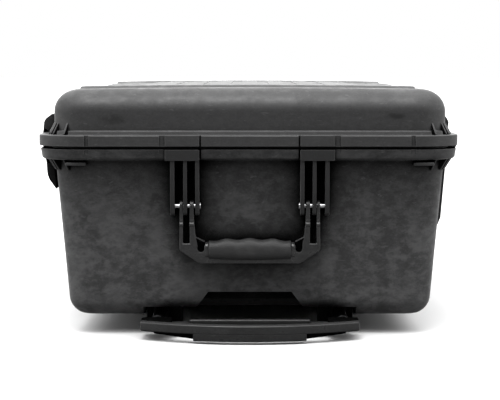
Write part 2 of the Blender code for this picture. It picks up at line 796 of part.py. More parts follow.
def make_pull_handle():
    arm = GRIP_HALF_WIDTH - GRIP_ARM_WIDTH
    outline = bow_points(GRIP_HALF_WIDTH, 0.0, 14)
    outline += [(GRIP_HALF_WIDTH, GRIP_REAR_Y), (arm, GRIP_REAR_Y)]
    outline += bow_points(arm, GRIP_BAR_DEPTH, 10)[::-1]
    outline += [(-arm, GRIP_REAR_Y), (-GRIP_HALF_WIDTH, GRIP_REAR_Y)]
    grip = prism("trolley_grip", outline, GRIP_Z, 2, finish=HANDLE_BLACK)
    bevel(grip, 0.0015, segments=1)
    pad = bow_points(GRIP_PAD_HALF_WIDTH, 0.0006, 10)
    pad += bow_points(GRIP_PAD_HALF_WIDTH, GRIP_BAR_DEPTH - 0.0006, 10)[::-1]
    pad_block = prism("grip_pad", pad, (GRIP_PAD_BOTTOM, GRIP_Z[0] + EMBED), 2)
    join(grip, pad_block)
    release_x = (-RELEASE_HALF_WIDTH, RELEASE_HALF_WIDTH)
    release = box("trolley_release_bar", release_x, RELEASE_Y, RELEASE_Z, finish=HANDLE_BLACK)
    bevel(release, 0.0015, segments=1)
    slide_room = (RELEASE_Z[0] + RELEASE_Z[1]) / 2
    for sign in (1, -1):
        peg_x = mirrored((RELEASE_HALF_WIDTH - EMBED, arm + 0.010), sign)
        peg = box("release_peg", peg_x, shrink(RELEASE_Y, EMBED), shifted(RELEASE_PEG_Z, slide_room))
        join(release, peg)
        slot_x = mirrored((arm - 0.005, arm + 0.011), sign)
        slot = box("release_slot", slot_x, peg_slot(), shifted(RELEASE_SLOT_Z, slide_room))
        cut(grip, slot)
        side = "left" if sign < 0 else "right"
        centre = (sign * TUBE_X, TUBE_Z)
        inner_span = (GRIP_REAR_Y + TOUCH_GAP, INNER_TUBE_END_Y)
        inner = rod(f"trolley_inner_tube_{side}", INNER_TUBE_RADIUS, inner_span, 1, centre, WORLD, METAL)
        cut(inner, rod("inner_bore", INNER_TUBE_BORE, (-0.40, 0.30), 1, centre))
        outer = rod(f"trolley_outer_tube_{side}", OUTER_TUBE_RADIUS, OUTER_TUBE_Y, 1, centre, WORLD, METAL)
        cut(outer, rod("outer_bore", OUTER_TUBE_BORE, (-0.40, 0.30), 1, centre))
        smooth(inner, outer)
        pivot(f"trolley_tube_{side}_slide", (sign * TUBE_X, GRIP_REAR_Y, TUBE_Z), inner)
    for name, span in zip(("front", "rear"), GUIDE_Y):
        guide_x = (-CHANNEL_HALF_WIDTH + 0.0006, CHANNEL_HALF_WIDTH - 0.0006)
        guide = box(f"trolley_guide_{name}", guide_x, span, GUIDE_Z, finish=HANDLE_BLACK)
        cut(guide, box("guide_relief", GUIDE_RELIEF_X, shrink(span, -EMBED), GUIDE_RELIEF_Z))
        for sign in (1, -1):
            bore = rod("guide_bore", OUTER_TUBE_RADIUS + HOLE_GAP, (-0.40, 0.30), 1, (sign * TUBE_X, TUBE_Z))
            cut(guide, bore)
    pivot("trolley_slide", (0, GRIP_REAR_Y, TUBE_Z), grip)
    pivot("trolley_release_slide", (0, RELEASE_Y[1], TUBE_Z), release)


def peg_slot():
    """The slot in the grip's arm that lets the release bar travel towards the grip."""
    return (RELEASE_Y[0] - 0.006, RELEASE_Y[1] + 0.001)


# Wheels


def make_wheel(side, sign):
    centre = (sign * WHEEL_X, WHEEL_Y, WHEEL_Z)
    half = WHEEL_WIDTH / 2
    tyre = [
        (HUB_RADIUS + TOUCH_GAP, half - 0.002),
        (WHEEL_RADIUS - 0.006, half),
        (WHEEL_RADIUS - 0.001, half - 0.004),
        (WHEEL_RADIUS, 0.0),
        (WHEEL_RADIUS - 0.001, -half + 0.004),
        (WHEEL_RADIUS - 0.006, -half),
        (HUB_RADIUS + TOUCH_GAP, -half + 0.002),
    ]
    hub = [
        (BEARING_RADIUS + TOUCH_GAP, half - 0.001),
        (BEARING_RADIUS + 0.005, half - 0.001),
        (BEARING_RADIUS + 0.008, 0.007),
        (HUB_RADIUS - 0.005, 0.007),
        (HUB_RADIUS - 0.003, half - 0.003),
        (HUB_RADIUS, half - 0.003),
        (HUB_RADIUS, -half + 0.003),
        (HUB_RADIUS - 0.003, -half + 0.003),
        (HUB_RADIUS - 0.005, -0.007),
        (BEARING_RADIUS + 0.008, -0.007),
        (BEARING_RADIUS + 0.005, -half + 0.001),
        (BEARING_RADIUS + TOUCH_GAP, -half + 0.001),
    ]
    sleeve = [
        (AXLE_RADIUS + HOLE_GAP, half),
        (BEARING_RADIUS, half),
        (BEARING_RADIUS, -half),
        (AXLE_RADIUS + HOLE_GAP, -half),
    ]
    pieces = [
        turned(f"wheel_tyre_{side}", tyre, centre, RUBBER),
        turned(f"wheel_hub_{side}", hub, centre, HANDLE_BLACK),
        turned(f"wheel_bearing_{side}", sleeve, centre, STEEL, segments=20),
    ]
    span = mirrored(AXLE_X, sign)
    axle = rod(f"wheel_axle_{side}", AXLE_RADIUS, span, 0, (WHEEL_Y, WHEEL_Z), finish=STEEL, segments=20)
    smooth(axle, *pieces)


# Soft and small pieces


def make_foam():
    def foam_inset(z):
        return base_inset(z) + WALL + FIT_GAP

    pad_levels = edge_levels(0.014, 2, BASE_FLOOR + FIT_GAP, foam_inset)
    pad = shell("base_foam_pad", pad_levels + [(PAD_TOP, foam_inset(PAD_TOP))], FOAM)
    low, high = PAD_TOP + 0.0004, INSERT_TOP
    insert = shell("base_foam_insert", [(low, foam_inset(low)), (high, foam_inset(high))], FOAM)
    hand_bottom, hand_top = HAND_RECESS_HALF_WIDTHS
    side = WALL + FIT_GAP
    hump = [
        (-hand_bottom - side - 0.002, BASE_FLOOR - EMBED),
        (hand_bottom + side + 0.002, BASE_FLOOR - EMBED),
        (hand_top + side, HAND_RECESS_TOP + side),
        (-hand_top - side, HAND_RECESS_TOP + side),
    ]
    cut(pad, prism("hump_room", hump, (-0.40, HAND_RECESS_END_Y + side), 1))
    for sign in (1, -1):
        block_x = mirrored((WELL_X[0] - 0.006 - FIT_GAP, 0.30), sign)
        room = box("well_room", block_x, (WELL_Y[0] - 0.006 - FIT_GAP, 0.45), (0.0, WELL_TOP + 0.007))
        cut(pad, room)
        cut(insert, room)
    for name, (x, y) in POCKETS.items():
        cut(insert, box(f"{name}_pocket", x, y, (0.05, 0.25)))
    inset = LID_WALL_INSET + WALL + FIT_GAP
    low, high = LID_FOAM_Z
    rounding = lid_edge(LID_EDGE_RADIUS - WALL, high, inset, 2)
    shell("lid_foam", [(low, inset)] + rounding, FOAM)


def make_gasket():
    band = (BASE_TOP + TOUCH_GAP, LID_BOTTOM + GASKET_GROOVE_DEPTH - TOUCH_GAP)
    loop_band("lid_gasket", GASKET_INSETS, band, RUBBER)


def make_valve(base):
    pad_span = (-0.0250, VALVE_PAD_W)
    centre = (VALVE_U, VALVE_Z)
    pad = rod("valve_pad", VALVE_PAD_RADIUS, pad_span, 1, centre, LATCH_SIDE, segments=24)
    join(base, pad, solver="MANIFOLD")
    body_span = (VALVE_PAD_W + TOUCH_GAP, VALVE_TOP_W)
    valve = rod("pressure_valve", VALVE_RADIUS, body_span, 1, centre, LATCH_SIDE, METAL, segments=24)
    bevel(valve, 0.0015, segments=1)


for leftover in list(bpy.data.objects):
    bpy.data.objects.remove(leftover, do_unlink=True)

PARTS = collection("drone_carrying_case")
CUTTERS = collection("cutters")
SHELL_BLACK = material("shell_black", (0.030, 0.030, 0.031), 0.55)
HANDLE_BLACK = material("handle_black", (0.022, 0.022, 0.023), 0.45)
RUBBER = material("rubber", (0.016, 0.016, 0.016), 0.80)
FOAM = material("foam", (0.045, 0.045, 0.047), 0.95)
STEEL = material("steel", (0.62, 0.62, 0.63), 0.28, metallic=1.0)
METAL = material("aluminium", (0.66, 0.67, 0.68), 0.35, metallic=1.0)


def main():
    base = make_base()
    lid = make_lid()
    make_handle("end_handle", END_SIDE, base, lid)
    make_handle("front_handle", LATCH_SIDE, base, lid)
    for number, offset in enumerate(LATCH_OFFSETS, start=1):
        make_latch(number, offset, base, lid)
    for number, offset in enumerate(HINGE_OFFSETS, start=1):
        make_hinge(number, offset, base, lid)
    make_valve(base)
    make_gasket()
    make_foam()
    make_pull_handle()
    make_wheel("left", -1)
    make_wheel("right", 1)


main()
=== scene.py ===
"""The looks of the wheeled carrying case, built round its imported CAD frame.

Metres, +Z up, +Y from the pull-handle end to the wheel end, latches on -X, hinges on +X.
Side frames give each side's pieces as u along the side, w out from the rim face and z up.
"""

import math

import bmesh
import bpy
from mathutils import Matrix, Vector


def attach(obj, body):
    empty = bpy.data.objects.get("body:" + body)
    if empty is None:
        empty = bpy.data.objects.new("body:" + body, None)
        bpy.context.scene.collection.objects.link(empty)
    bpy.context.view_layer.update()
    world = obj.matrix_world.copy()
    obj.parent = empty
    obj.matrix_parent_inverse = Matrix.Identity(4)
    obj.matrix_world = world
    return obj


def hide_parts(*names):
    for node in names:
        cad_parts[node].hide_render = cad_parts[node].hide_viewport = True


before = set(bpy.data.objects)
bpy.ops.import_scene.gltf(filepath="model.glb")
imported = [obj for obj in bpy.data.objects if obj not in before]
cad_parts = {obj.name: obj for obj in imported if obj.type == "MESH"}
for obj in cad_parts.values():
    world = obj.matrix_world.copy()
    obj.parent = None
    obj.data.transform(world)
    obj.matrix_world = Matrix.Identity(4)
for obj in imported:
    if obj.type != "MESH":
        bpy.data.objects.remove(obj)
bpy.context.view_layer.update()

WORLD = Matrix.Identity(4)

# Shells, as the CAD has them
CASE_MIDDLE_Y = 0.021
RIM_HALF_WIDTH = 0.2615
RIM_HALF_LENGTH = 0.401
RIM_OFFSET_X = -0.0017
RIM_CORNER = 0.06
CORNER_STEPS = 16
WALL = 0.005
EMBED = 0.002
BASE_BOTTOM = 0.024
BASE_EDGE_RADIUS = 0.022
FLANGE_BOTTOM = 0.221
BASE_TOP = 0.2345
BASE_WALL_INSET = 0.0177
BASE_DRAFT = 0.0913
BASE_FLOOR = 0.0405
LID_BOTTOM = 0.2377
LID_FLANGE_TOP = 0.2513
LID_WALL_INSET = 0.0165
LID_WALL_BOTTOM = 0.2561
LID_TOP = 0.3095
LID_EDGE_RADIUS = 0.03
LID_RAISED_TOP = 0.3125
LID_CEILING = 0.2995
GASKET_INSETS = (0.013, 0.018)
GROOVE_DEPTH = 0.004
CHANNEL_TOP = 0.0354
HAND_RECESS_END_Y = -0.267
WELL_X = (0.17, 0.214)
WELL_Y = (0.316, 0.44)
WELL_TOP = 0.092


def side_frame(origin, along, outward):
    columns = (Vector(along), Vector(outward), Vector((0, 0, 1)))
    return Matrix.Translation(origin) @ Matrix(columns).transposed().to_4x4()


END_SIDE = side_frame((0, CASE_MIDDLE_Y - RIM_HALF_LENGTH, 0), (-1, 0, 0), (0, -1, 0))
LATCH_SIDE = side_frame((RIM_OFFSET_X - RIM_HALF_WIDTH, CASE_MIDDLE_Y, 0), (0, 1, 0), (-1, 0, 0))
HINGE_SIDE = side_frame((0, CASE_MIDDLE_Y, 0), (0, -1, 0), (1, 0, 0))

# ---- materials

# How plastic wears, and where light and shade are painted into it: shares of the paler colour, factors on the
# two colours, lengths in metres
EDGE_TURN = (0.995, 0.9)  # cosines at which an edge starts to show and shows fully
# Edges are painted paler, partly for wear and partly as a painted highlight.
EDGE_WEAR_AND_HIGHLIGHT_RADIUS = 0.0014
EDGE_WEAR_AND_HIGHLIGHT_SHARE = 0.8
SCRATCH_SHARE = 0.55
SPECKLE_SHARE = 0.14
# Smudges are rubbed dirt; the same darker patches also paint shadows.
SMUDGE_AND_SHADOW_SHARE = 0.75
PALER = 2.3
DARKER = 0.3
# Painted shade: closed-in places darken to this share of the dark colour.
PAINTED_SHADE_FACTOR = 0.22
OPENNESS_REACH = 0.06
# Painted light bounced from the floor: faint above the first height, full below the second.
FLOOR_GLOW_HEIGHTS = (0.215, 0.1)
FOOT_HEIGHTS = (0.095, 0.06)
RECESS_REACH = (0.175, 0.205)  # of |x| + 2z, where the shade round the hand recess ends


class Nodes:
    """The node tree of a material or a world, with short calls for the nodes that repeat."""

    def __init__(self, owner):
        owner.use_nodes = True
        self.owner = owner
        self.tree = owner.node_tree
        self.shader = self.tree.nodes.get("Principled BSDF")
        self.place = self.add("ShaderNodeTexCoord").outputs["Object"]

    def add(self, kind, inputs=None, **settings):
        """A new node; each of its inputs is a value or another node's output."""
        made = self.tree.nodes.new(kind)
        for key, value in settings.items():
            setattr(made, key, value)
        for key, value in (inputs or {}).items():
            self.feed(made.inputs[key], value)
        return made

    def feed(self, socket, value):
        if isinstance(value, bpy.types.NodeSocket):
            self.tree.links.new(value, socket)
        elif value is not None:
            socket.default_value = value

    def stretched(self, scale, turn):
        inputs = {"Scale": scale, "Rotation": turn, "Vector": self.place}
        return self.add("ShaderNodeMapping", inputs).outputs["Vector"]

    def noise(self, scale, detail=4.0, roughness=0.55, vector=None, distortion=0.0):
        inputs = {"Scale": scale, "Detail": detail, "Roughness": roughness, "Distortion": distortion}
        return self.add("ShaderNodeTexNoise", {**inputs, "Vector": vector or self.place}).outputs["Fac"]

    def ranged(self, value, low, high, to_low=0.0, to_high=1.0):
        inputs = {"Value": value, "From Min": low, "From Max": high, "To Min": to_low, "To Max": to_high}
        made = self.add("ShaderNodeMapRange", inputs, clamp=True, interpolation_type="SMOOTHSTEP")
        return made.outputs["Result"]

    def math(self, operation, first, second=None):
        return self.add("ShaderNodeMath", {0: first, 1: second}, operation=operation).outputs["Value"]

    def times(self, first, second):
        return self.math("MULTIPLY", first, second)

    def mix(self, factor, first, second):
        first, second = [(*color, 1.0) if isinstance(color, tuple) else color for color in (first, second)]
        made = self.add("ShaderNodeMix", {"Factor": factor, 6: first, 7: second}, data_type="RGBA")
        return made.outputs[2]

    def edges(self, radius):
        """How far the surface turns within a radius: near 1 on an edge, 0 on a flat face."""
        rounded = self.add("ShaderNodeBevel", {"Radius": radius}, samples=4)
        flat = self.add("ShaderNodeNewGeometry")
        normals = {0: rounded.outputs["Normal"], 1: flat.outputs["Normal"]}
        dot = self.add("ShaderNodeVectorMath", normals, operation="DOT_PRODUCT")
        return self.ranged(dot.outputs["Value"], *EDGE_TURN)

    def distance(self, centre, half_size):
        """How far the surface is from a point, in half-sizes along each axis."""
        away = self.place
        for operation, by in (("SUBTRACT", centre), ("DIVIDE", half_size)):
            away = self.add("ShaderNodeVectorMath", {0: away, 1: by}, operation=operation).outputs["Vector"]
        return self.add("ShaderNodeVectorMath", {0: away}, operation="LENGTH").outputs["Value"]

    def exposed(self, reach, closed, open_air):
        """1 where the surface is out in the open, 0 deep between other surfaces."""
        made = self.add("ShaderNodeAmbientOcclusion", {"Distance": reach}, samples=6)
        return self.ranged(made.outputs["AO"], closed, open_air)

    def bump(self, height, distance, strength, under=None):
        inputs = {"Distance": distance, "Strength": strength, "Height": height, "Normal": under}
        return self.add("ShaderNodeBump", inputs).outputs["Normal"]

    def finish(self, color, roughness, normal=None, metallic=0.0, specular=0.5):
        values = {"Metallic": metallic, "Specular IOR Level": specular, "Base Color": color,
                  "Roughness": roughness, "Normal": normal}
        for name, value in values.items():
            self.feed(self.shader.inputs[name], value)
        return self.owner


def plastic(name, dark, light, rough, grain=1500.0, floor_glow_and_rubs=0.0, shade=(0.42, 0.97), smudges_and_shadows=(),
            sheen=0.12):
    """Moulded plastic: fine grain, cloudy rub marks, faint scratches, edges painted paler (partly wear,
    partly a painted highlight) and painted shade in closed-in places.

    haze is how much the walls low down below the flange are painted paler than the rest: painted light
    bounced from the floor, patchy with the rub marks. shade is how closed in a place must be for the
    painted shade to turn it black, and how open to show its full colour; the painted shade also takes
    the sheen and shine out of closed places. smudges are darker patches, each a centre and a half-size:
    rubbed smudges, and painted shadows.
    """
    nodes = Nodes(bpy.data.materials.new(name))
    clouds = nodes.ranged(nodes.noise(24.0, 7.0, 0.66, distortion=0.6), 0.38, 0.62)
    rub_field = nodes.noise(70.0, 6.0, 0.7, nodes.stretched((1.0, 1.0, 1.7), (0.3, 0.5, 0.2)))
    rubs = nodes.ranged(rub_field, 0.4, 0.66)
    scuff_field = nodes.noise(95.0, 3.0, 0.6, nodes.stretched((1.0, 1.0, 2.6), (0.9, 0.4, 0.7)), 0.5)
    scuffs = nodes.ranged(scuff_field, 0.645, 0.7)
    speckle = nodes.ranged(nodes.noise(420.0, 3.0, 0.6), 0.35, 0.7)
    scratch_field = nodes.noise(14.0, 3.0, 0.5, nodes.stretched((1.0, 1.0, 9.0), (0.5, 0.9, 0.3)), 0.8)
    near_line = nodes.math("ABSOLUTE", nodes.math("SUBTRACT", scratch_field, 0.5))
    scratches = nodes.times(nodes.ranged(near_line, 0.006, 0.001), rubs)
    tone = nodes.math("ADD", nodes.times(clouds, 0.45), nodes.times(rubs, 0.55))
    color = nodes.mix(tone, dark, light)
    paler = tuple(min(1.0, PALER * part) for part in light)
    # Painted light bounced from the floor: the walls low down go paler, patchy with the rub marks.
    if floor_glow_and_rubs:
        height = nodes.add("ShaderNodeSeparateXYZ", {"Vector": nodes.place})
        low = nodes.ranged(height.outputs["Z"], *FLOOR_GLOW_HEIGHTS, 0.03)
        glow_and_rubs = nodes.times(low, nodes.ranged(tone, 0.0, 1.0, 0.26))
        color = nodes.mix(nodes.times(glow_and_rubs, floor_glow_and_rubs), color, paler)
    scratches = nodes.math("MAXIMUM", scratches, scuffs)
    scratched = nodes.times(scratches, SCRATCH_SHARE)
    # Scratches are wear; the paler edges are partly wear and partly a painted highlight.
    marks = nodes.math("MAXIMUM", scratched, nodes.times(nodes.edges(EDGE_WEAR_AND_HIGHLIGHT_RADIUS), EDGE_WEAR_AND_HIGHLIGHT_SHARE))
    color = nodes.mix(marks, color, paler)
    color = nodes.mix(nodes.times(speckle, SPECKLE_SHARE), color, paler)
    darker = tuple(DARKER * part for part in dark)
    # Darker patches: rubbed smudges, and painted shadows.
    for centre, half_size in smudges_and_shadows:
        broken = nodes.times(nodes.math("SUBTRACT", 1.0, rubs), 0.6)
        away = nodes.math("ADD", nodes.distance(centre, half_size), broken)
        color = nodes.mix(nodes.ranged(away, 1.5, 0.5, 0.0, SMUDGE_AND_SHADOW_SHARE), color, darker)
    # Painted shade: closed-in places go dark and lose their sheen and shine.
    in_the_open = nodes.exposed(OPENNESS_REACH, *shade)
    # Low on the base, clear of the hand recess, the painted shade is lifted again; round the recess it stays.
    if floor_glow_and_rubs:
        away = nodes.math("ADD", nodes.math("ABSOLUTE", height.outputs["X"]), height.outputs["Z"])
        away = nodes.math("ADD", away, height.outputs["Z"])
        clear_of_recess = nodes.ranged(away, *RECESS_REACH)
        low_down = nodes.ranged(height.outputs["Z"], *FOOT_HEIGHTS)
        foot = nodes.times(clear_of_recess, low_down)
        in_the_open = nodes.math("MAXIMUM", in_the_open, foot)
    color = nodes.mix(in_the_open, tuple(PAINTED_SHADE_FACTOR * part for part in dark), color)
    nodes.feed(nodes.shader.inputs["Sheen Weight"], nodes.times(in_the_open, sheen))
    roughness = nodes.ranged(tone, 0.0, 1.0, rough + 0.06, rough - 0.07)
    fine = nodes.bump(nodes.noise(grain, 2.0, 0.6), 0.00022, 0.35)
    broad = nodes.bump(nodes.noise(28.0, 3.0, 0.5), 0.0008, 0.25, fine)
    nodes.shader.inputs["Sheen Roughness"].default_value = 0.35
    return nodes.finish(color, roughness, broad, specular=nodes.times(in_the_open, 0.5))


def rubber(name, dark, light, rough=0.78, shine=0.5):
    """Overmoulded rubber: matt, with a stippled skin and dusty patches."""
    nodes = Nodes(bpy.data.materials.new(name))
    dust = nodes.ranged(nodes.noise(60.0, 6.0, 0.7), 0.4, 0.75)
    stipple = nodes.add("ShaderNodeTexVoronoi", {"Scale": 900.0, "Vector": nodes.place})
    color = nodes.mix(dust, dark, light)
    pores = nodes.ranged(stipple.outputs["Distance"], 0.05, 0.55)
    color = nodes.mix(nodes.times(pores, 0.2), color, dark)
    roughness = nodes.ranged(dust, 0.0, 1.0, rough - 0.06, rough + 0.08)
    return nodes.finish(color, roughness, nodes.bump(pores, 0.0003, 0.5), specular=shine)


def foam(name, dark, light):
    """Open-cell foam: pitted all over, with paler struts between dark pores."""
    nodes = Nodes(bpy.data.materials.new(name))
    inputs = {"Scale": 520.0, "Vector": nodes.place}
    pores = nodes.add("ShaderNodeTexVoronoi", inputs, feature="DISTANCE_TO_EDGE")
    struts = nodes.ranged(pores.outputs["Distance"], 0.16, 0.02)
    cloud = nodes.ranged(nodes.noise(24.0, 5.0, 0.6), 0.35, 0.7)
    color = nodes.mix(nodes.times(struts, 0.75), dark, light)
    color = nodes.mix(nodes.times(cloud, 0.35), color, light)
    roughness = nodes.ranged(cloud, 0.0, 1.0, 0.9, 1.0)
    lumps = nodes.bump(nodes.noise(90.0, 4.0, 0.7), 0.0009, 0.4)
    return nodes.finish(color, roughness, nodes.bump(struts, 0.0006, 0.7, lumps), specular=0.2)


def metal(name, dark, light, rough, stretch):
    """Drawn or brushed metal: fine lines along the stock, with fingerprints dulling it in patches."""
    nodes = Nodes(bpy.data.materials.new(name))
    lines = nodes.noise(700.0, 3.0, 0.5, nodes.stretched(stretch, (0, 0, 0)))
    prints = nodes.ranged(nodes.noise(70.0, 5.0, 0.6), 0.42, 0.72)
    color = nodes.mix(nodes.ranged(lines, 0.35, 0.65), dark, light)
    roughness = nodes.math("ADD", nodes.ranged(lines, 0.3, 0.7, rough, rough + 0.12),
                           nodes.times(prints, 0.12))
    return nodes.finish(color, roughness, nodes.bump(lines, 0.00008, 0.4), metallic=1.0)


LID_SMUDGES = (
    ((-0.168, -0.364, 0.2705), (0.021, 0.012, 0.007)),
    ((0.18, -0.364, 0.274), (0.015, 0.012, 0.0055)),
)
SHELL = plastic("shell_plastic", (0.023, 0.023, 0.0234), (0.037, 0.037, 0.0375), 0.45, shade=(0.22, 0.75),
                smudges_and_shadows=LID_SMUDGES)
# A painted shadow of the rubber grip, on the base wall just above it.
SLEEVE_SHADOW = (((0.0, -0.374, 0.1235), (0.067, 0.03, 0.017)),)
# The base plastic carries painted light from the floor low on its walls, and the grip's painted shadow.
BASE_SHELL = plastic("base_shell_plastic", (0.006, 0.006, 0.0063), (0.039, 0.039, 0.0395), 0.42, floor_glow_and_rubs=1.0,
                     shade=(0.47, 0.96), smudges_and_shadows=SLEEVE_SHADOW, sheen=0.3)
# The lug ribs get a darker copy of the shell plastic: painted shade.
SHADED_LUG = plastic("shaded_lug_plastic", (0.0085, 0.0085, 0.0087), (0.0165, 0.0165, 0.0168), 0.45, shade=(0.22, 0.75))
# The corner webs' copy of the shell plastic goes black sooner in closed places: painted shade between the
# webs.
SHADED_WEB = plastic("shaded_web_plastic", (0.022, 0.022, 0.0224), (0.04, 0.04, 0.0404), 0.45, shade=(0.48, 0.76))
LATCH = plastic("latch_plastic", (0.011, 0.011, 0.0112), (0.021, 0.021, 0.0212), 0.4, 1900.0)
HANDLE = plastic("handle_plastic", (0.014, 0.014, 0.0142), (0.029, 0.029, 0.0292), 0.32, 1900.0,
                 shade=(0.2, 0.65))
POLISHED = plastic("polished_plastic", (0.016, 0.016, 0.0162), (0.03, 0.03, 0.0302), 0.16, 1900.0,
                   shade=(0.2, 0.65))
RUBBER = rubber("grip_rubber", (0.017, 0.017, 0.0172), (0.042, 0.042, 0.0425), 0.62)
TYRE = rubber("tyre_rubber", (0.012, 0.012, 0.012), (0.038, 0.037, 0.036))
# Nearly black and without shine: painted shade for the pull grip's arms and keel, under the case.
SHADE_BLACK_RUBBER = rubber("shade_black_rubber", (0.002, 0.002, 0.002), (0.006, 0.006, 0.006), 0.88, 0.0)
SEAL = rubber("gasket_rubber", (0.008, 0.008, 0.008), (0.018, 0.018, 0.018), 0.7)
FOAM = foam("open_cell_foam", (0.01, 0.01, 0.0105), (0.05, 0.05, 0.0515))
STEEL = metal("drawn_steel", (0.46, 0.46, 0.47), (0.78, 0.78, 0.79), 0.2, (0.05, 1.0, 1.0))
ALUMINIUM = metal("brushed_aluminium", (0.5, 0.51, 0.52), (0.72, 0.73, 0.74), 0.3, (1.0, 0.03, 1.0))
TUBE_METAL = metal("black_anodised_tube", (0.03, 0.03, 0.031), (0.075, 0.075, 0.077), 0.32,
                   (1.0, 0.03, 1.0))

# ---- mesh helpers


class Solids:
    """Closed, edge-rounded solids gathered into one mesh in a side's frame."""

    def __init__(self, place=WORLD):
        self.shape = bmesh.new()
        self.place = place

    def take(self, solid, rounding=0.0, segments=2, turn=WORLD):
        bmesh.ops.recalc_face_normals(solid, faces=solid.faces)
        if rounding:
            sharp = [edge for edge in solid.edges if edge.calc_face_angle(0.0) > math.radians(28)]
            bmesh.ops.bevel(solid, geom=sharp, offset=rounding, segments=segments, profile=0.5,
                            affect="EDGES", clamp_overlap=True)
        bmesh.ops.transform(solid, matrix=self.place @ turn, verts=solid.verts)
        if (self.place @ turn).determinant() < 0:
            bmesh.ops.reverse_faces(solid, faces=solid.faces)
        holder = bpy.data.meshes.new("holder")
        solid.to_mesh(holder)
        solid.free()
        self.shape.from_mesh(holder)
        bpy.data.meshes.remove(holder)

    def prism(self, outline, span, across, rounding=0.0008, segments=2, turn=WORLD):
        """An outline pushed along one local axis from span[0] to span[1]."""
        solid = bmesh.new()
        corners = []
        for first, second in outline:
            point = [first, second]
            point.insert(across, span[0])
            corners.append(solid.verts.new(point))
        pushed = bmesh.ops.extrude_face_region(solid, geom=[solid.faces.new(corners)])
        shift = Vector((0, 0, 0))
        shift[across] = span[1] - span[0]
        moved = [item for item in pushed["geom"] if isinstance(item, bmesh.types.BMVert)]
        bmesh.ops.translate(solid, vec=shift, verts=moved)
        self.take(solid, rounding, segments, turn)

    def pair(self, outline, span, rounding=0.0008, segments=2):
        """A prism along a side and its mirror image."""
        for sign in (1, -1):
            self.prism(outline, mirrored(span, sign), 0, rounding, segments)

    def box(self, x, y, z, rounding=0.0008, segments=2, turn=WORLD):
        self.prism([(x[0], y[0]), (x[1], y[0]), (x[1], y[1]), (x[0], y[1])], z, 2, rounding, segments, turn)

    def rod(self, radius, span, across, centre, rounding=0.0, steps=32):
        self.prism(arc(centre, radius, 0, 360, steps)[:-1], span, across, rounding)

    def turned(self, profile, centre, steps=72):
        """A closed (radius, offset) profile turned about the local X axis."""
        solid = bmesh.new()
        rings = []
        for cosine, sine in arc((0, 0), 1, 0, 360, steps)[:-1]:
            rings.append([
                solid.verts.new((centre[0] + offset, centre[1] + radius * cosine, centre[2] + radius * sine))
                for radius, offset in profile
            ])
        bridge_rings(solid, rings, True)
        self.take(solid)

    def done(self, name, *finish):
        """One object; finish is what finished() asks for after the object."""
        made = to_object(name, self.shape)
        return finished(made, *finish) if finish else made


def arc(centre, radius, start, end, steps):
    points = []
    for step in range(steps + 1):
        angle = math.radians(start + (end - start) * step / steps)
        points.append((centre[0] + radius * math.cos(angle), centre[1] + radius * math.sin(angle)))
    return points


def bridge_rings(shape, rings, closed=False):
    following = rings[1:] + rings[:1] if closed else rings[1:]
    for here, there in zip(rings, following):
        for i in range(len(here)):
            j = (i + 1) % len(here)
            shape.faces.new((here[i], here[j], there[j], there[i]))


def close_rings(shape, rings):
    bridge_rings(shape, rings)
    shape.faces.new(rings[0])
    shape.faces.new(rings[-1])
    bmesh.ops.recalc_face_normals(shape, faces=shape.faces)


def to_object(name, shape, place=WORLD):
    bmesh.ops.transform(shape, matrix=place, verts=shape.verts)
    mesh = bpy.data.meshes.new(name)
    shape.to_mesh(mesh)
    shape.free()
    return placed(name, mesh)


def placed(name, data):
    made = bpy.data.objects.new(name, data)
    bpy.context.scene.collection.objects.link(made)
    return made


def finished(made, body, material, slot, *nodes, angle=35, weighted=True):
    """Gives a piece its finish, smooth shading and body, and hides the CAD nodes it stands for."""
    made.data.materials.clear()
    made.data.materials.append(material)
    made.data.shade_smooth()
    made.data.set_sharp_from_angle(angle=math.radians(angle))
    if weighted:
        even = made.modifiers.new("Even", "WEIGHTED_NORMAL")
        even.keep_sharp = True
        even.weight = 80
    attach(made, body)
    if nodes:
        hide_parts(*nodes)
    return made


def rim_ring(shape, z, inset):
    """A round-cornered rectangle set in from the rim's outline."""
    half_x = RIM_HALF_WIDTH - inset
    half_y = RIM_HALF_LENGTH - inset
    shift = RIM_OFFSET_X if inset < BASE_WALL_INSET / 2 else 0.0
    x = (shift - half_x, shift + half_x)
    y = (CASE_MIDDLE_Y - half_y, CASE_MIDDLE_Y + half_y)
    outline = rounded_rectangle(x, y, max(RIM_CORNER - inset, 0.012), CORNER_STEPS)
    return [shape.verts.new((*point, z)) for point in outline]


def lofted(name, levels):
    """A closed loft through (z, inset) levels, capped at both ends."""
    shape = bmesh.new()
    rings = [rim_ring(shape, z, inset) for z, inset in levels]
    close_rings(shape, rings)
    return to_object(name, shape)


def carve(target, *tools, operation="DIFFERENCE"):
    """Booleans each tool into the target's mesh, one after another, and removes the tools."""
    for tool in tools:
        modifier = target.modifiers.new("Carve", "BOOLEAN")
        modifier.operation = operation
        modifier.solver = "EXACT"
        modifier.object = tool
        bpy.context.view_layer.update()
        cut = target.evaluated_get(bpy.context.evaluated_depsgraph_get())
        result = bpy.data.meshes.new_from_object(cut)
        target.modifiers.clear()
        old = target.data
        target.data = result
        bpy.data.meshes.remove(old)
        bpy.data.objects.remove(tool, do_unlink=True)


def mirrored(span, sign):
    return (span[0], span[1]) if sign > 0 else (-span[1], -span[0])


def tool_box(x, y, z, place=WORLD):
    solids = Solids(place)
    solids.box(x, y, z, 0.0)
    return solids.done("tool")


def tool_prism(outline, span, across, place=WORLD):
    solids = Solids(place)
    solids.prism(outline, span, across, 0.0)
    return solids.done("tool")


def tool_pair(x, y, z, place=WORLD):
    """A box on the +X side of a frame and its mirror image."""
    return [tool_box(mirrored(x, sign), y, z, place) for sign in (1, -1)]


def mm(*points):
    return [(first / 1000, second / 1000) for first, second in points]


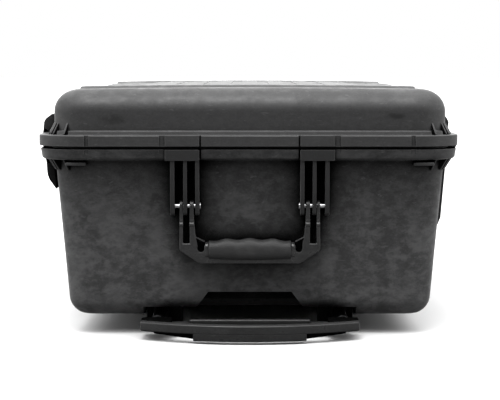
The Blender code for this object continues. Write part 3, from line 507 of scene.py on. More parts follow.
def flipped(outline, sign):
    return [(sign * first, second) for first, second in outline]


def shifted(place, offset):
    return place @ Matrix.Translation((offset, 0, 0))


# ---- shells


def base_inset(z):
    return BASE_WALL_INSET + (FLANGE_BOTTOM - z) * BASE_DRAFT


def quarter_round(radius, steps):
    angles = [math.radians(90) * step / steps for step in range(steps + 1)]
    return [(radius * (1 - math.cos(angle)), radius * (1 - math.sin(angle))) for angle in angles]


def lower_round(radius, steps, level, inset_at):
    return [(level + up, inset_at(level + up) + back) for up, back in quarter_round(radius, steps)]


def upper_round(radius, top, inset, steps):
    return [(top - down, inset + back) for back, down in quarter_round(radius, steps)]


LUG_RIBS = ((0.0622, 0.0669), (0.0769, 0.0816), (0.0922, 0.0975))
PIN_W = -0.012
PIN_Z = 0.1644
PIN_RADIUS = 0.0028
LATCH_OFFSETS = (-0.262, -0.15, 0.15, 0.262)
HINGE_OFFSETS = (-0.24, 0.0, 0.24)
HINGE_AXIS = (0.2615, 0.2357)
KNUCKLE_RADIUS = 0.0055
CORNERS = ((1, 1), (1, -1), (-1, 1), (-1, -1))
CORNER_GROOVE = (0.1972, 0.2026)
CORNER_GROOVE_DEPTH = 0.0022
SIDE_GROOVE = (0.337, 0.3408)
SIDE_GROOVE_DEPTH = 0.0014
CUT_PAST = 0.01  # how far a cutting box stands out of the face that it opens
WEB_ANGLES = (16, 22, 26, 34, 57)
WEB_POCKETS = ((17.4, 20.6), (27.4, 32.6), (35.4, 41.0), (58.4, 63.5))
CROWN = 0.002
CROWN_HALF_WIDTH = 0.215
CROWN_STRIPS = 10


def corner_grooves():
    """Boxes where the corner pieces of both flanges end, on all four sides."""
    z = (0.22, LID_FLANGE_TOP + 0.0016)
    tools = []
    for sign_x, sign_y in CORNERS:
        depth = (RIM_HALF_LENGTH - CORNER_GROOVE_DEPTH, RIM_HALF_LENGTH + CUT_PAST)
        depth = [CASE_MIDDLE_Y + y for y in mirrored(depth, sign_y)]
        tools.append(tool_box(mirrored(CORNER_GROOVE, sign_x), depth, z))
        along = [CASE_MIDDLE_Y + y for y in mirrored(SIDE_GROOVE, sign_y)]
        depth = (RIM_HALF_WIDTH - SIDE_GROOVE_DEPTH, RIM_HALF_WIDTH + CUT_PAST)
        tools.append(tool_box([RIM_OFFSET_X + x for x in mirrored(depth, sign_x)], along, z))
    for place in (END_SIDE, LATCH_SIDE):
        tools += tool_pair((0.0594, 0.0626), (-0.005, CUT_PAST), z, place)
        tools += tool_pair((0.103, 0.1112), (-0.0018, CUT_PAST), z, place)
    return tools


def rim_notches(latch_z, hinge_z):
    """Boxes that make room for the latches and the hinge barrels in one flange."""
    tools = []
    for offset in LATCH_OFFSETS:
        tools.append(tool_box((-0.03, 0.03), (-0.009, CUT_PAST), latch_z, shifted(LATCH_SIDE, offset)))
    reach = (HINGE_AXIS[0] - KNUCKLE_RADIUS - 0.0008, HINGE_AXIS[0] + CUT_PAST)
    for offset in HINGE_OFFSETS:
        tools.append(tool_box((-0.0455, 0.0455), reach, hinge_z, shifted(HINGE_SIDE, offset)))
    return tools


def corner_place(sign_x, sign_y):
    """The frame of one rim corner: origin on the corner's axis, X and Y pointing outwards."""
    x = sign_x * (RIM_HALF_WIDTH - RIM_CORNER)
    y = CASE_MIDDLE_Y + sign_y * (RIM_HALF_LENGTH - RIM_CORNER)
    return Matrix.Translation((x, y, 0)) @ Matrix.Diagonal((sign_x, sign_y, 1, 1))


def corner_pockets(z):
    """Wedges that open deep pockets between the webs of every corner."""
    tools = []
    for corner in CORNERS:
        for start, end in WEB_POCKETS:
            wedge = arc((0, 0), 0.0535, start, end, 2) + arc((0, 0), 0.045, end, start, 2)
            tools.append(tool_prism(wedge, z, 2, corner_place(*corner)))
    return tools


def crown(made, above):
    """Bends the top of the lid down a little towards its two long sides."""
    shape = bmesh.new()
    shape.from_mesh(made.data)
    for step in range(1 - CROWN_STRIPS, CROWN_STRIPS):
        x = step * CROWN_HALF_WIDTH / CROWN_STRIPS
        parts = list(shape.verts) + list(shape.edges) + list(shape.faces)
        bmesh.ops.bisect_plane(shape, geom=parts, plane_co=(x, 0, 0), plane_no=(1, 0, 0))
    for vert in shape.verts:
        share = min(max((vert.co.z - above) / (LID_TOP - above), 0.0), 1.0)
        vert.co.z -= share * CROWN * (vert.co.x / CROWN_HALF_WIDTH) ** 2
    shape.to_mesh(made.data)
    shape.free()


def make_base():
    def cavity_inset(z):
        return base_inset(z) + WALL

    levels = lower_round(BASE_EDGE_RADIUS, 12, BASE_BOTTOM, base_inset)
    levels += [(z, base_inset(z)) for z in (0.09, 0.14, 0.19)]
    levels += [(0.2185, 0.0179), (0.22, 0.0172), (0.2208, 0.016), (FLANGE_BOTTOM, 0.014)]
    levels += lower_round(0.0045, 5, FLANGE_BOTTOM, lambda z: 0.0023)
    levels += [(BASE_TOP - 0.0012, 0.001), (BASE_TOP - 0.0004, 0.0013), (BASE_TOP, 0.0021)]
    levels += [(BASE_TOP, cavity_inset(BASE_TOP))]
    levels += lower_round(0.014, 4, BASE_FLOOR, cavity_inset)[::-1]
    base = lofted("base_skin", levels)

    hump = [(-0.073, 0.0385), (0.073, 0.0385), (0.057, 0.06), (-0.057, 0.06)]
    block = tool_prism(hump, (-0.3435, HAND_RECESS_END_Y + WALL), 1)
    carve(base, block, well_block(1), well_block(-1), operation="UNION")
    recess = [(-0.068, CHANNEL_TOP - EMBED), (0.068, CHANNEL_TOP - EMBED), (0.052, 0.055), (-0.052, 0.055)]
    cuts = [
        tool_box((-0.134, 0.134), (-0.45, 0.245), (-0.01, CHANNEL_TOP)),
        tool_prism(recess, (-0.45, HAND_RECESS_END_Y), 1),
    ]
    cuts += tool_pair((0.176, 0.202), (-0.285, 0.285), (-0.01, CHANNEL_TOP))
    cuts += tool_pair(WELL_X, WELL_Y, (-0.01, WELL_TOP))
    cuts += rim_notches((0.215, 0.236), (HINGE_AXIS[1] - 0.0063, 0.24))
    carve(base, *cuts, *corner_grooves(), *corner_pockets((0.21, 0.226)))
    finished(base, "base", BASE_SHELL, "shell_black", "base_shell")


def well_block(sign):
    front, rear, back = 0.31, 0.3855, 0.02
    near, far = WELL_X[0] - 0.006, 0.2255
    outline = [(near, front), (far, front), (far, rear - back), (far - back, rear), (near, rear)]
    return tool_prism(flipped(outline, sign), (BASE_FLOOR - EMBED, WELL_TOP + 0.006), 2)


def make_lid():
    near, far = GASKET_INSETS
    top = LID_BOTTOM + GROOVE_DEPTH
    inner_wall = LID_WALL_INSET + WALL
    levels = [(LID_BOTTOM, near - 0.0003), (LID_BOTTOM, 0.0), (LID_BOTTOM + 0.0008, -0.0008)]
    levels += upper_round(0.0013, LID_FLANGE_TOP, -0.0008, 4)
    levels += [(LID_FLANGE_TOP + 0.0002, 0.0102), (LID_FLANGE_TOP + 0.001, 0.0107)]
    levels += [(LID_WALL_BOTTOM - 0.001, 0.0111), (LID_WALL_BOTTOM - 0.0003, 0.0115)]
    levels += [(LID_WALL_BOTTOM, 0.0124), (LID_WALL_BOTTOM + 0.0001, 0.016)]
    levels += [(LID_WALL_BOTTOM + 0.0008, 0.0165)]
    levels += upper_round(LID_EDGE_RADIUS, LID_TOP, LID_WALL_INSET, 16)
    inside = [(top, near - 0.0003), (top, far + 0.0003), (LID_BOTTOM, far + 0.0003), (LID_BOTTOM, inner_wall)]
    inside += upper_round(LID_EDGE_RADIUS - WALL, LID_CEILING, inner_wall, 5)
    lid = lofted("lid_skin", levels[::-1] + inside)
    cuts = []
    reach = RIM_HALF_LENGTH - 0.158
    length = (CASE_MIDDLE_Y - reach, CASE_MIDDLE_Y + reach)
    ramp = 0.04
    ledge = [(length[0], LID_TOP), (length[0] + ramp, LID_TOP - 0.0045), (length[1] - ramp, LID_TOP - 0.0045)]
    ledge += [(length[1], LID_TOP), (length[1], LID_TOP + 0.01), (length[0], LID_TOP + 0.01)]
    for sign in (1, -1):
        cuts.append(tool_prism(ledge, mirrored((0.16, 0.3), sign), 0))
    cuts += rim_notches((0.236, 0.253), (0.233, HINGE_AXIS[1] + 0.0063))
    carve(lid, *cuts, *corner_grooves(), *corner_pockets((0.246, 0.262)))
    crown(lid, LID_TOP - 0.025)
    finished(lid, "lid", SHELL, "shell_black", "lid_shell")


def make_lid_top():
    """The raised bands and the ribbed panel that locate a second case, crowned across the lid."""
    solids = Solids()
    for sign in (1, -1):
        middle = CASE_MIDDLE_Y + sign * 0.294
        outline = rounded_rectangle((-0.2145, 0.209), (middle - 0.041, middle + 0.041), 0.012)
        solids.prism(outline, (LID_TOP - 0.006, LID_RAISED_TOP), 2, 0.0018, 4)
        for vert in solids.shape.verts:
            inward = 0.294 - (vert.co.y - CASE_MIDDLE_Y) * sign
            climb = (vert.co.z - LID_TOP) / (LID_RAISED_TOP - LID_TOP)
            if 0.028 < inward < 0.05:
                vert.co.y += sign * 0.016 * climb
            elif -0.05 < inward < -0.028:
                vert.co.y -= sign * 0.006 * climb
    panel = rounded_rectangle((-0.148, 0.148), (CASE_MIDDLE_Y - 0.239, CASE_MIDDLE_Y + 0.239), 0.012)
    solids.prism(panel, (LID_TOP - 0.006, LID_RAISED_TOP - 0.0016), 2, 0.0008, 2)
    for step in range(-3, 4):
        x = step * 0.038
        rib = rounded_rectangle((x - 0.012, x + 0.012), (CASE_MIDDLE_Y - 0.225, CASE_MIDDLE_Y + 0.225), 0.006)
        solids.prism(rib, (LID_TOP - 0.004, LID_RAISED_TOP - 0.0007), 2, 0.0006, 2)
    ribs = solids.done("lid_top_ribs")
    crown(ribs, LID_TOP - 0.025)
    finished(ribs, "lid", SHELL, "shell_black")


def rounded_rectangle(x, y, radius, steps=6):
    points = []
    right, left = x[1] - radius, x[0] + radius
    rear, front = y[1] - radius, y[0] + radius
    for quarter, centre in enumerate(((right, rear), (left, rear), (left, front), (right, front))):
        points += arc(centre, radius, 90 * quarter, 90 * (quarter + 1), steps)
    return points


def make_gussets():
    """Thin webs between wall and flange round each corner, above the lid's rim and under the base's."""
    above = mm((41.5, 266), (44.2, 266), (51.2, 253), (51.4, 250), (41.5, 245))
    below = mm((40, 221.8), (52.8, 221.8), (43.6, 207.5), (40, 207.5))
    for name, body, profile in (("lid_corner_webs", "lid", above), ("base_corner_webs", "base", below)):
        solids = Solids()
        for corner in CORNERS:
            for angle in WEB_ANGLES:
                turn = corner_place(*corner) @ Matrix.Rotation(math.radians(angle), 4, "Z")
                solids.prism(profile, (-0.0012, 0.0012), 1, 0.0005, 1, turn)
        finished(solids.done(name), body, SHADED_WEB, "shell_black")


def make_under_lips():
    """Short lips under the base flange where its corner pieces end."""
    solids = Solids()
    for sign_x, sign_y in CORNERS:
        y = mirrored((RIM_HALF_LENGTH - 0.021, RIM_HALF_LENGTH - 0.009), sign_y)
        y = [CASE_MIDDLE_Y + end for end in y]
        solids.box(mirrored((0.2018, 0.2265), sign_x), y, (0.2142, 0.218), 0.001)
    solids.done("base_corner_lips", "base", SHELL, "shell_black")


def lug_profile():
    foot = arc((-0.008, 0.158), 0.005, 270, 345, 4)
    return [(-0.0205, FLANGE_BOTTOM + EMBED), (-0.0265, 0.153)] + foot + [
        (0.0012, 0.176),
        (0.0015, 0.19),
        (0.0015, FLANGE_BOTTOM + EMBED),
    ]


def make_lugs(name, place):
    """Ribs that carry a handle's pins, with the blocks over them on both flanges."""
    base = Solids(place)
    lid = Solids(place)
    for rib in LUG_RIBS:
        base.pair(lug_profile(), rib, 0.0007)
    for sign in (1, -1):
        plan = mm((61.8, -8), (61.8, 3.5), (102.6, 3.5), (104.2, 2), (104.2, -8))
        plan = flipped(plan, sign)
        base.prism(plan, (0.2206, BASE_TOP - 0.0003), 2, 0.0008)
        lid.prism(plan, (LID_BOTTOM + 0.0003, LID_FLANGE_TOP + 0.0004), 2, 0.001)
    base.done(f"{name}_base_lugs", "base", SHADED_LUG, "shell_black")
    lid.done(f"{name}_lid_blocks", "lid", SHELL, "shell_black")


# ---- fold-down handles


def make_pin(node, body, place, centre, *rods):
    """A steel pin of coaxial rods, each a radius, a span along the side and a rounding."""
    pin = Solids(place)
    for radius, span, rounding in rods:
        pin.rod(radius, span, 0, centre, rounding)
    pin.done(f"{node}_turned", body, STEEL, "steel", node)


def make_handle(name, place):
    leg = mm((47, 104), (47, 117), (56, 117), (56.2, 111), (57.2, 108.5), (60, 107.4), (63, 108.5),
             (64.5, 111.5), (65.2, 120), (67.2, 129), (68.4, 140), (68.8, 148), (74, 148), (74, 118.5),
             (82.2, 118.5), (82.2, 148), (86.2, 148), (86.6, 111), (85, 109.2), (65, 95.8), (61, 94.1),
             (55, 93.8))
    plate = arc((PIN_W, PIN_Z), 0.0074, 0, 180, 14)
    plate += [(PIN_W - 0.0074, 0.146), (PIN_W - 0.0076, 0.14)]
    plate += [(PIN_W + 0.0076, 0.14), (PIN_W + 0.0074, 0.146)]
    bridge = mm((55.5, 121), (67.2, 126.8), (67.6, 126), (55.9, 120))
    bow = Solids(place)
    for sign in (1, -1):
        bow.prism(flipped(leg, sign), (PIN_W - 0.0078, PIN_W + 0.0078), 1, 0.0014, 2)
        bow.prism(flipped(bridge, sign), (PIN_W - 0.002, PIN_W + 0.007), 1, 0.0003, 1)
        for span in ((0.0686, 0.0742), (0.082, 0.0864)):
            bow.rod(0.0042, mirrored(span, sign), 0, (PIN_W + 0.0046, 0.1415), 0.0008)
    bow.pair(plate, (0.0688, 0.074), 0.0007)
    bow.pair(plate, (0.0822, 0.0862), 0.0007)
    bow.box((-0.062, 0.062), (PIN_W - 0.0074, PIN_W + 0.0074), (0.0938, 0.108), 0.0016)
    bow.done(f"{name}_bow", name, HANDLE, "handle_black", f"{name}_frame")
    make_sleeve(name, place)
    make_collars(name, place)
    for sign, side in ((1, "left"), (-1, "right")):
        make_pin(f"{name}_pin_{side}", "base", place, (PIN_W, PIN_Z),
                 (PIN_RADIUS, mirrored((0.0612, 0.094), sign), 0.0004),
                 (0.0042, mirrored((0.0604, 0.0622), sign), 0.0005))


SLEEVE_HALF_LENGTH = 0.0515
SLEEVE_Z = 0.1098
SLEEVE_AROUND = 40
SLEEVE_ALONG = 96
OVAL_POWER = 0.78
FINGER_WAVE = 0.0285


def oval(value):
    return math.copysign(abs(value) ** OVAL_POWER, value)


def make_sleeve(name, place):
    """The rubber grip: an oval bar, fuller in the middle, with soft finger waves on top."""
    shape = bmesh.new()
    rings = []
    for step in range(SLEEVE_ALONG + 1):
        u = SLEEVE_HALF_LENGTH * (2 * step / SLEEVE_ALONG - 1)
        share = abs(u) / SLEEVE_HALF_LENGTH
        full = 1.0 - 0.16 * share**2
        end = math.sqrt(max(0.0, 1.0 - max(0.0, (share - 0.955) / 0.045) ** 2))
        close = 0.8 + 0.2 * end
        ring = []
        for cosine, sine in arc((0, 0), 1, 0, 360, SLEEVE_AROUND)[:-1]:
            wave = 0.0011 * math.cos(math.tau * u / FINGER_WAVE) * max(0.0, sine)
            w = PIN_W + 0.0117 * close * oval(cosine)
            z = SLEEVE_Z + (0.0136 * full * close + wave * end) * oval(sine)
            ring.append(shape.verts.new((u, w, z)))
        rings.append(ring)
    close_rings(shape, rings)
    made = to_object(f"{name}_sleeve", shape, place)
    finished(made, name, RUBBER, "grip_rubber", f"{name}_grip", angle=50)


def make_collars(name, place):
    """Smooth collars where the rubber sleeve ends."""
    solids = Solids(place)
    outline = rounded_rectangle((PIN_W - 0.0092, PIN_W + 0.0092), (0.0992, 0.1196), 0.0066, 5)
    solids.pair(outline, (0.0508, 0.0552), 0.0011, 3)
    solids.done(f"{name}_collars", name, POLISHED, "handle_black")


# ---- latches

LEVER_PIN = (-0.004, 0.262)
HOOK_PIN = (-0.0043, 0.229)


def make_latch(number, offset):
    name = f"latch_{number}"
    place = shifted(LATCH_SIDE, offset)
    outer = mm((-4, 271.8), (-0.6, 268.2), (1.6, 264), (2.7, 258.5), (2.7, 220), (-0.2, 216), (-1, 211),
               (-1.4, 202), (-2.2, 196), (-4.6, 189.5), (-9, 183.5), (-13.2, 177.5))
    inner = mm((-13.6, 180), (-10.4, 185), (-7.2, 190.5), (-4.6, 196.5), (-3.4, 203), (-2.8, 211),
               (-2.4, 215), (0.3, 220), (0.3, 256), (-1.2, 261.5), (-6.2, 269))
    lever = Solids(place)
    lever.prism(outer + inner, (-0.0255, 0.0255), 0, 0.0008)
    panel = mm((2, 250.5), (3.6, 249.5), (3.6, 225.5), (2, 224.5))
    lever.prism(panel, (-0.0175, 0.0175), 0, 0.0006)
    for step in range(5):
        z = 0.199 + 0.0034 * step
        w = -0.0018 + 0.07 * (z - 0.199)
        lever.rod(0.0009, (-0.019, 0.019), 0, (w, z), steps=12)
    cheek = [(0.0018, 0.2565)] + arc(LEVER_PIN, 0.005, 270, 90, 10) + [(-0.001, 0.2668), (0.0018, 0.264)]
    web = mm((-1.2, 211), (-2.4, 196), (-5, 189.5), (-13.2, 178.2), (-13.2, 183), (-11.6, 205), (-6, 211.2))
    side = mm((2, 254), (3.3, 253), (3.3, 222.5), (2, 221.5))
    ear = [(0.0015, 0.2251)] + arc(HOOK_PIN, 0.0039, 270, 90, 10) + [(0.0015, 0.2329)]
    lever.pair(cheek, (0.0195, 0.0245), 0.0004, 1)
    lever.pair(ear, (0.0142, 0.0185), 0.0004, 1)
    lever.pair(side, (0.0215, 0.0248), 0.0005)
    lever.pair(web, (0.0222, 0.0255), 0.0005)
    lever.done(f"{name}_handle", f"{name}_lever", LATCH, "latch_black", f"{name}_lever")
    hook = Solids(place)
    top = FLANGE_BOTTOM - 0.0005
    profile = arc(HOOK_PIN, 0.0039, 0, 180, 14)
    profile += [(-0.0082, top), (-0.015, top), (-0.015, 0.215), (-0.014, 0.2135), (-0.005, 0.2135),
                (-0.0004, 0.223)]
    hook.prism(profile, (-0.0135, 0.0135), 0, 0.0005)
    hook.done(f"{name}_claw", f"{name}_hook", LATCH, "latch_black", f"{name}_hook")
    ribs = Solids(place)
    rib = mm((-18.5, 250.5), (-8, 250.5), (1, 257), (1.6, 264), (-1.2, 269), (-8.5, 274.5), (-18.5, 276.5))
    ribs.pair(rib, (0.0262, 0.03), 0.0006)
    ribs.done(f"{name}_lid_ribs", "lid", SHELL, "shell_black")
    make_pin(f"{name}_lever_pin", "lid", place, LEVER_PIN, (0.0025, (-0.0292, 0.0292), 0.0004))
    make_pin(f"{name}_hook_pin", f"{name}_lever", place, HOOK_PIN, (0.0018, (-0.0185, 0.0185), 0.0004))


# ---- hinges


def make_hinge(number, offset):
    place = shifted(HINGE_SIDE, offset)
    inside = HINGE_AXIS[0] - KNUCKLE_RADIUS - 0.0028
    base = Solids(place)
    lid = Solids(place)
    for span in ((-0.045, -0.0225), (0.0225, 0.045)):
        base.rod(KNUCKLE_RADIUS, span, 0, HINGE_AXIS, 0.0005)
        base.box(span, (inside, HINGE_AXIS[0]), (BASE_TOP - 0.01, HINGE_AXIS[1]), 0.0004)
    lid.rod(KNUCKLE_RADIUS, (-0.022, 0.022), 0, HINGE_AXIS, 0.0005)
    lid.box((-0.022, 0.022), (inside, HINGE_AXIS[0]), (HINGE_AXIS[1], LID_BOTTOM + 0.01), 0.0004)
    base_rib = mm((240, 223), (234, 124), (240, 125.5), (244, 130), (248, 140), (255, 223))
    lid_rib = mm((242.5, 250), (256, 250), (257.5, 264), (255, 269), (252, 272.5), (242.5, 276.5))
    for middle in (-0.034, 0.0, 0.034):
        span = (middle - 0.0025, middle + 0.0025)
        base.prism(base_rib, span, 0, 0.0008)
        lid.prism(lid_rib, span, 0, 0.0008)
    base.done(f"hinge_{number}_base_leaf", "base", SHELL, "shell_black")
    lid.done(f"hinge_{number}_lid_leaf", "lid", SHELL, "shell_black")
    make_pin(f"hinge_pin_{number}", "base", place, HINGE_AXIS, (0.0025, (-0.0455, 0.0455), 0.0005))


# ---- pull handle and running gear

GRIP_HALF_WIDTH = 0.135
GRIP_FRONT_Y = -0.422
GRIP_BOW = 0.036
GRIP_REAR_Y = -0.346
GRIP_BAR_DEPTH = 0.014
GRIP_Z = (0.0115, 0.0232)
PAD_HALF_WIDTH = 0.069
KEEL_HALF_WIDTH = 0.118
TUBE_X = 0.116
TUBE_Z = 0.0165


def bow_points(half_width, depth, steps):
    radius = (GRIP_HALF_WIDTH**2 + GRIP_BOW**2) / (2 * GRIP_BOW)
    points = []
    for step in range(steps + 1):
        x = half_width * (2 * step / steps - 1)
        points.append((x, GRIP_FRONT_Y + depth + radius - math.sqrt(radius**2 - x**2)))
    return points


def make_pull_handle():
    """The bowed grip with its pad, keel and arms, the release bar and the two telescopic tubes."""
    arm = GRIP_HALF_WIDTH - 0.038
    grip = Solids()
    outline = bow_points(GRIP_HALF_WIDTH, 0.0, 44) + bow_points(GRIP_HALF_WIDTH, GRIP_BAR_DEPTH, 44)[::-1]
    grip.prism(outline, GRIP_Z, 2, 0.0019, 3)
    pad = bow_points(PAD_HALF_WIDTH, 0.0003, 30)
    pad += bow_points(PAD_HALF_WIDTH, GRIP_BAR_DEPTH - 0.0006, 30)[::-1]
    grip.prism(pad, (0.0034, GRIP_Z[0] + EMBED), 2, 0.0012, 3)
    grip.done("pull_grip", "pull_handle", HANDLE, "handle_black", "trolley_grip")
    keel = Solids()
    for sign in (1, -1):
        outline = [(arm, -0.398), (GRIP_HALF_WIDTH, -0.383), (GRIP_HALF_WIDTH, GRIP_REAR_Y)]
        outline = flipped(outline + [(arm, GRIP_REAR_Y)], sign)
        keel.prism(outline, (GRIP_Z[0] + 0.0003, GRIP_Z[1] - 0.0003), 2, 0.0012, 3)
    # The keel is a black strip under the grip's wings, put there for the shade under them.
    outline = bow_points(KEEL_HALF_WIDTH, 0.006, 44)
    outline += bow_points(KEEL_HALF_WIDTH, GRIP_BAR_DEPTH - 0.001, 44)[::-1]
    keel.prism(outline, (0.0052, GRIP_Z[0] + EMBED), 2, 0.0008)
    for vert in keel.shape.verts:
        if vert.co.z < GRIP_Z[0] and vert.co.y < -0.38:
            past_pad = max(0.0, abs(vert.co.x) - PAD_HALF_WIDTH)
            vert.co.z += 0.004 * past_pad / (KEEL_HALF_WIDTH - PAD_HALF_WIDTH)
    keel.done("pull_grip_arms", "pull_handle", SHADE_BLACK_RUBBER, "handle_black")
    bar = Solids()
    bar.box((-0.075, 0.075), (-0.368, -0.358), (0.0105, 0.0225), 0.0016, 3)
    bar.box((-0.1065, 0.1065), (-0.366, -0.36), (0.0135, 0.0195), 0.0006)
    for step in range(-6, 7):
        x = step * 0.009
        bar.box((x - 0.0012, x + 0.0012), (-0.3672, -0.3588), (0.0098, 0.0112), 0.0003, 1)
    bar.done("release_trigger", "release_bar", HANDLE, "handle_black", "trolley_release_bar")
    for sign, side in ((-1, "left"), (1, "right")):
        make_tube(f"inner_tube_{side}", "pull_handle", 0.008, 0.0065, (GRIP_REAR_Y + 0.0003, 0.12), sign)
        make_tube(f"outer_tube_{side}", "base", 0.0105, 0.0085, (-0.255, 0.215), sign)


def make_tube(name, body, radius, bore, span, sign):
    """A tube along Y with softly rounded end edges."""
    edge = 0.0003
    profile = [(radius - edge, span[0]), (radius, span[0] + edge), (radius, span[1] - edge),
               (radius - edge, span[1]), (bore, span[1]), (bore, span[0])]
    tube = Solids(side_frame((sign * TUBE_X, 0, TUBE_Z), (0, 1, 0), (-1, 0, 0)))
    tube.turned(profile, (0, 0, 0), 40)
    tube.done(f"trolley_{name}_drawn", body, TUBE_METAL, "aluminium", f"trolley_{name}")


def make_runners():
    solids = Solids()
    for sign in (1, -1):
        x = mirrored((0.142, 0.162), sign)
        outline = rounded_rectangle(x, (-0.165, 0.3), 0.008)
        solids.prism(outline, (0.0, BASE_BOTTOM + EMBED), 2, 0.0022, 3)
    solids.done("base_runners", "base", SHELL, "shell_black")


def both_faces(profile):
    return profile + [(radius, -offset) for radius, offset in profile[::-1]]


def make_wheel(side, sign):
    centre = (sign * 0.192, 0.366, 0.0445)
    half = 0.017
    tyre = Solids()
    tread = [(0.0313, 0.015), (0.0355, half), (0.0388, 0.016), (0.0408, 0.0135)]
    groove = [(0.042, 0.003), (0.042, 0.001), (0.0411, 0.0006)]
    tread += [(radius, 0.0085 + offset) for radius, offset in both_faces(groove)] + groove
    tyre.turned(both_faces(tread), centre)
    tyre.done(f"wheel_{side}_tread", f"wheel_{side}", TYRE, "grip_rubber", f"wheel_tyre_{side}")
    hub = Solids()
    face = half - 0.003
    outer_face = [(0.0108, half - 0.001), (0.015, half - 0.001), (0.0162, 0.012), (0.018, 0.0072),
                  (0.0255, 0.0072), (0.0275, 0.012), (0.0285, face), (0.031, face)]
    hub.turned(both_faces(outer_face), centre)
    for step in range(6):
        turn = Matrix.Translation(centre) @ Matrix.Rotation(math.radians(60 * step), 4, "X")
        hub.box((-0.0125, 0.0125), (0.015, 0.0285), (-0.0018, 0.0018), 0.0006, 2, turn)
    hub.done(f"wheel_{side}_spokes", f"wheel_{side}", HANDLE, "handle_black", f"wheel_hub_{side}")


# ---- foam

PAD_TOP = 0.075
INSERT_TOP = 0.228
FOAM_WELL = ((0.163, 0.3), (0.309, 0.45), (0.0, 0.099))  # room over one wheel, as x, y and z
PEAK_PITCH = 0.036
PEAK_HEIGHT = 0.016
POCKETS = [((-0.195, 0.01), (-0.31, -0.165)), ((0.04, 0.195), (-0.31, -0.165)),
           ((-0.195, 0.195), (-0.135, 0.175))]
POCKETS += [((x, x + 0.075), (0.205, 0.29)) for x in (-0.195, -0.09, 0.015, 0.12)]


def foam_inset(z):
    return base_inset(z) + WALL + 0.001


def make_foam():
    pad = lofted("foam_pad", lower_round(0.014, 4, BASE_FLOOR + 0.001, foam_inset) + [
        (PAD_TOP, foam_inset(PAD_TOP))])
    hump = [(-0.076, 0.0385), (0.076, 0.0385), (0.058, 0.061), (-0.058, 0.061)]
    carve(pad, tool_prism(hump, (-0.4, HAND_RECESS_END_Y + 0.006), 1), *tool_pair(*FOAM_WELL))
    finished(pad, "base", FOAM, "foam", "base_foam_pad")
    low = PAD_TOP + 0.0004
    levels = [(low, foam_inset(low)), (INSERT_TOP - 0.003, foam_inset(INSERT_TOP))]
    levels += [(INSERT_TOP - 0.0009, foam_inset(INSERT_TOP) + 0.0009)]
    levels += [(INSERT_TOP, foam_inset(INSERT_TOP) + 0.003)]
    insert = lofted("foam_insert", levels)
    pockets = [tool_prism(rounded_rectangle(x, y, 0.008), (0.05, 0.25), 2) for x, y in POCKETS]
    carve(insert, *pockets, *tool_pair(*FOAM_WELL))
    finished(insert, "base", FOAM, "foam", "base_foam_insert")
    make_lid_foam()


def wave(place):
    return math.cos(math.tau * place / PEAK_PITCH)


def make_lid_foam():
    inset = LID_WALL_INSET + WALL + 0.001
    low, high = 0.2395, 0.2985
    half_x = RIM_HALF_WIDTH - inset
    half_y = RIM_HALF_LENGTH - inset
    corner = RIM_CORNER - inset
    shape = bmesh.new()
    columns = 104
    rows = 160
    grid = []
    for row in range(rows + 1):
        y = half_y * (2 * row / rows - 1)
        line = []
        for column in range(columns + 1):
            x = half_x * (2 * column / columns - 1)
            px, py = to_rounded(x, y, half_x, half_y, corner)
            edge = min(half_x - abs(px), half_y - abs(py))
            deep = 0.5 - 0.25 * (wave(px) + wave(py))
            fade = min(1.0, max(0.0, edge - 0.004) / 0.012)
            z = low + 0.0012 + PEAK_HEIGHT * deep * fade
            line.append(shape.verts.new((px, py + CASE_MIDDLE_Y, z)))
        grid.append(line)
    for here, there in zip(grid, grid[1:]):
        for i in range(columns):
            shape.faces.new((here[i], here[i + 1], there[i + 1], there[i]))
    rim = grid[0] + [line[-1] for line in grid[1:]] + grid[-1][-2::-1] + [line[0] for line in grid[-2:0:-1]]
    rings = [rim]
    for z, pull in ((0.276, 0.0), (0.287, 0.003), (0.295, 0.0095), (high, 0.018)):
        ring = []
        for vert in rim:
            x = vert.co.x * (1 - pull / half_x)
            y = CASE_MIDDLE_Y + (vert.co.y - CASE_MIDDLE_Y) * (1 - pull / half_y)
            ring.append(shape.verts.new((x, y, z)))
        rings.append(ring)
    bridge_rings(shape, rings)
    shape.faces.new(rings[-1])
    bmesh.ops.recalc_face_normals(shape, faces=shape.faces)
    made = to_object("lid_foam_peaks", shape)
    finished(made, "lid", FOAM, "foam", "lid_foam", angle=60, weighted=False)


def to_rounded(x, y, half_x, half_y, corner):
    """Pulls a point of the rectangle's corner square onto its rounded corner."""
    over_x = abs(x) - (half_x - corner)
    over_y = abs(y) - (half_y - corner)
    if over_x <= 0 or over_y <= 0:
        return x, y
    reach = math.hypot(over_x, over_y)
    shrink = max(over_x, over_y) / reach
    over_x *= shrink
    over_y *= shrink
    return (math.copysign(half_x - corner + over_x, x), math.copysign(half_y - corner + over_y, y))


# ---- small pieces


def make_small_pieces():
    valve = Solids(LATCH_SIDE)
    centre = (0.206, 0.19)
    valve.rod(0.0175, (-0.025, -0.0185), 1, centre, 0.0006, 48)
    valve.done("valve_seat", "base", SHELL, "shell_black")
    knob = Solids(LATCH_SIDE)
    knob.rod(0.0138, (-0.0182, -0.0112), 1, centre, 0.001, 48)
    knob.rod(0.009, (-0.0116, -0.0105), 1, centre, 0.0004, 48)
    for spot in arc(centre, 0.0135, 0, 360, 18)[:-1]:
        knob.rod(0.0009, (-0.0178, -0.0118), 1, spot, 0.0, 10)
    knob.done("valve_knob", "base", ALUMINIUM, "aluminium", "pressure_valve")
    looks = {"lid_gasket": SEAL, "trolley_guide_front": HANDLE, "trolley_guide_rear": HANDLE}
    for side in ("left", "right"):
        looks[f"wheel_axle_{side}"] = STEEL
        looks[f"wheel_bearing_{side}"] = STEEL
    for name, material in looks.items():
        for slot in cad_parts[name].material_slots:
            slot.link = "OBJECT"
            slot.material = material


# ---- stage

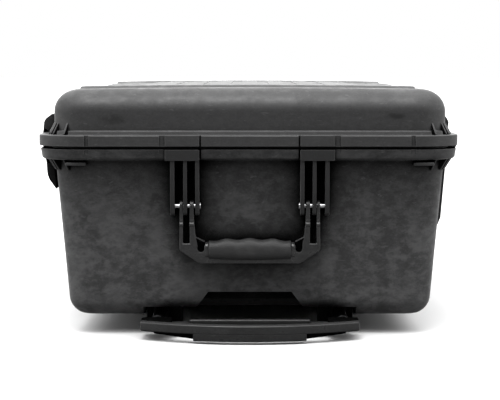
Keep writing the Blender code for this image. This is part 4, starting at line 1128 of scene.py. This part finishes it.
CAMERA_PLACE = (0.0002, -2.41, 0.337)
CAMERA_PITCH = 4.63
CAMERA_LENS = 119.8
FLOOR_BOUNCE = 0.17
SUN_ENERGY = 1.2
SUN_TILT = 27.0
SUN_TURN = -16.0
DOME = (  # each is an axis, where its fade starts and ends, and the brightness there
    ("Z", 0.25, 0.85, 0.08, 2.6),
    ("Y", -0.25, 0.45, 0.08, 0.85),
    ("Y", 0.8, 0.97, 0.0, 3.2),
    ("X", 0.6, 1.0, 0.0, 1.5),
    ("X", -0.6, -1.0, 0.0, 1.5),
)


def make_stage():
    nodes = Nodes(bpy.data.materials.new("studio_floor"))
    shade = nodes.ranged(nodes.noise(0.6, 2.0, 0.5), 0.3, 0.7)
    nodes.finish(nodes.mix(shade, (0.86, 0.86, 0.86), (0.88, 0.88, 0.88)), 1.0, specular=0.0)
    dull = nodes.add("ShaderNodeBsdfDiffuse", {"Color": (FLOOR_BOUNCE, FLOOR_BOUNCE, FLOOR_BOUNCE, 1.0)})
    seen = nodes.add("ShaderNodeLightPath").outputs["Is Camera Ray"]
    either = nodes.add("ShaderNodeMixShader", {0: seen, 1: dull.outputs[0], 2: nodes.shader.outputs[0]})
    nodes.feed(nodes.tree.nodes["Material Output"].inputs["Surface"], either.outputs[0])
    shape = bmesh.new()
    bmesh.ops.create_grid(shape, x_segments=2, y_segments=2, size=40.0)
    floor = to_object("studio_floor", shape)
    floor.data.materials.append(nodes.owner)
    floor.location.z = -0.0002

    camera = placed("camera", bpy.data.cameras.new("camera"))
    camera.location = CAMERA_PLACE
    camera.rotation_euler = (math.radians(90 - CAMERA_PITCH), 0, 0)
    camera.data.lens = CAMERA_LENS
    camera.data.sensor_width = 36.0
    camera.data.clip_end = 200.0
    bpy.context.scene.camera = camera

    top = bpy.data.lights.new("overhead", "SUN")
    top.energy = SUN_ENERGY
    top.angle = math.radians(26)
    lamp = placed("overhead", top)
    lamp.rotation_euler = (math.radians(SUN_TILT), 0, math.radians(SUN_TURN))
    light_dome()


def light_dome():
    """A studio tent: bright overhead, softer behind and beside the case, dim low in front of it."""
    world = bpy.data.worlds.new("studio")
    bpy.context.scene.world = world
    nodes = Nodes(world)
    around = nodes.add("ShaderNodeTexCoord").outputs["Generated"]
    parts = nodes.add("ShaderNodeSeparateXYZ", {"Vector": around})
    brightest = 0.0
    for axis, *fade in DOME:
        brightest = nodes.math("MAXIMUM", brightest, nodes.ranged(parts.outputs[axis], *fade))
    seen = nodes.add("ShaderNodeLightPath").outputs["Is Camera Ray"]
    level = nodes.add("ShaderNodeMix", {"Factor": seen, 2: brightest, 3: 1.0})
    background = nodes.tree.nodes["Background"].inputs
    nodes.feed(background["Color"], (1.0, 1.0, 1.0, 1.0))
    nodes.feed(background["Strength"], level.outputs[0])
    bpy.context.scene.view_settings.view_transform = "Standard"


def main():
    make_stage()
    make_base()
    make_lid()
    make_lid_top()
    make_gussets()
    make_under_lips()
    for name, place in (("end_handle", END_SIDE), ("front_handle", LATCH_SIDE)):
        make_lugs(name, place)
        make_handle(name, place)
    for number, offset in enumerate(LATCH_OFFSETS, start=1):
        make_latch(number, offset)
    for number, offset in enumerate(HINGE_OFFSETS, start=1):
        make_hinge(number, offset)
    make_pull_handle()
    make_runners()
    make_wheel("left", -1)
    make_wheel("right", 1)
    make_foam()
    make_small_pieces()


main()
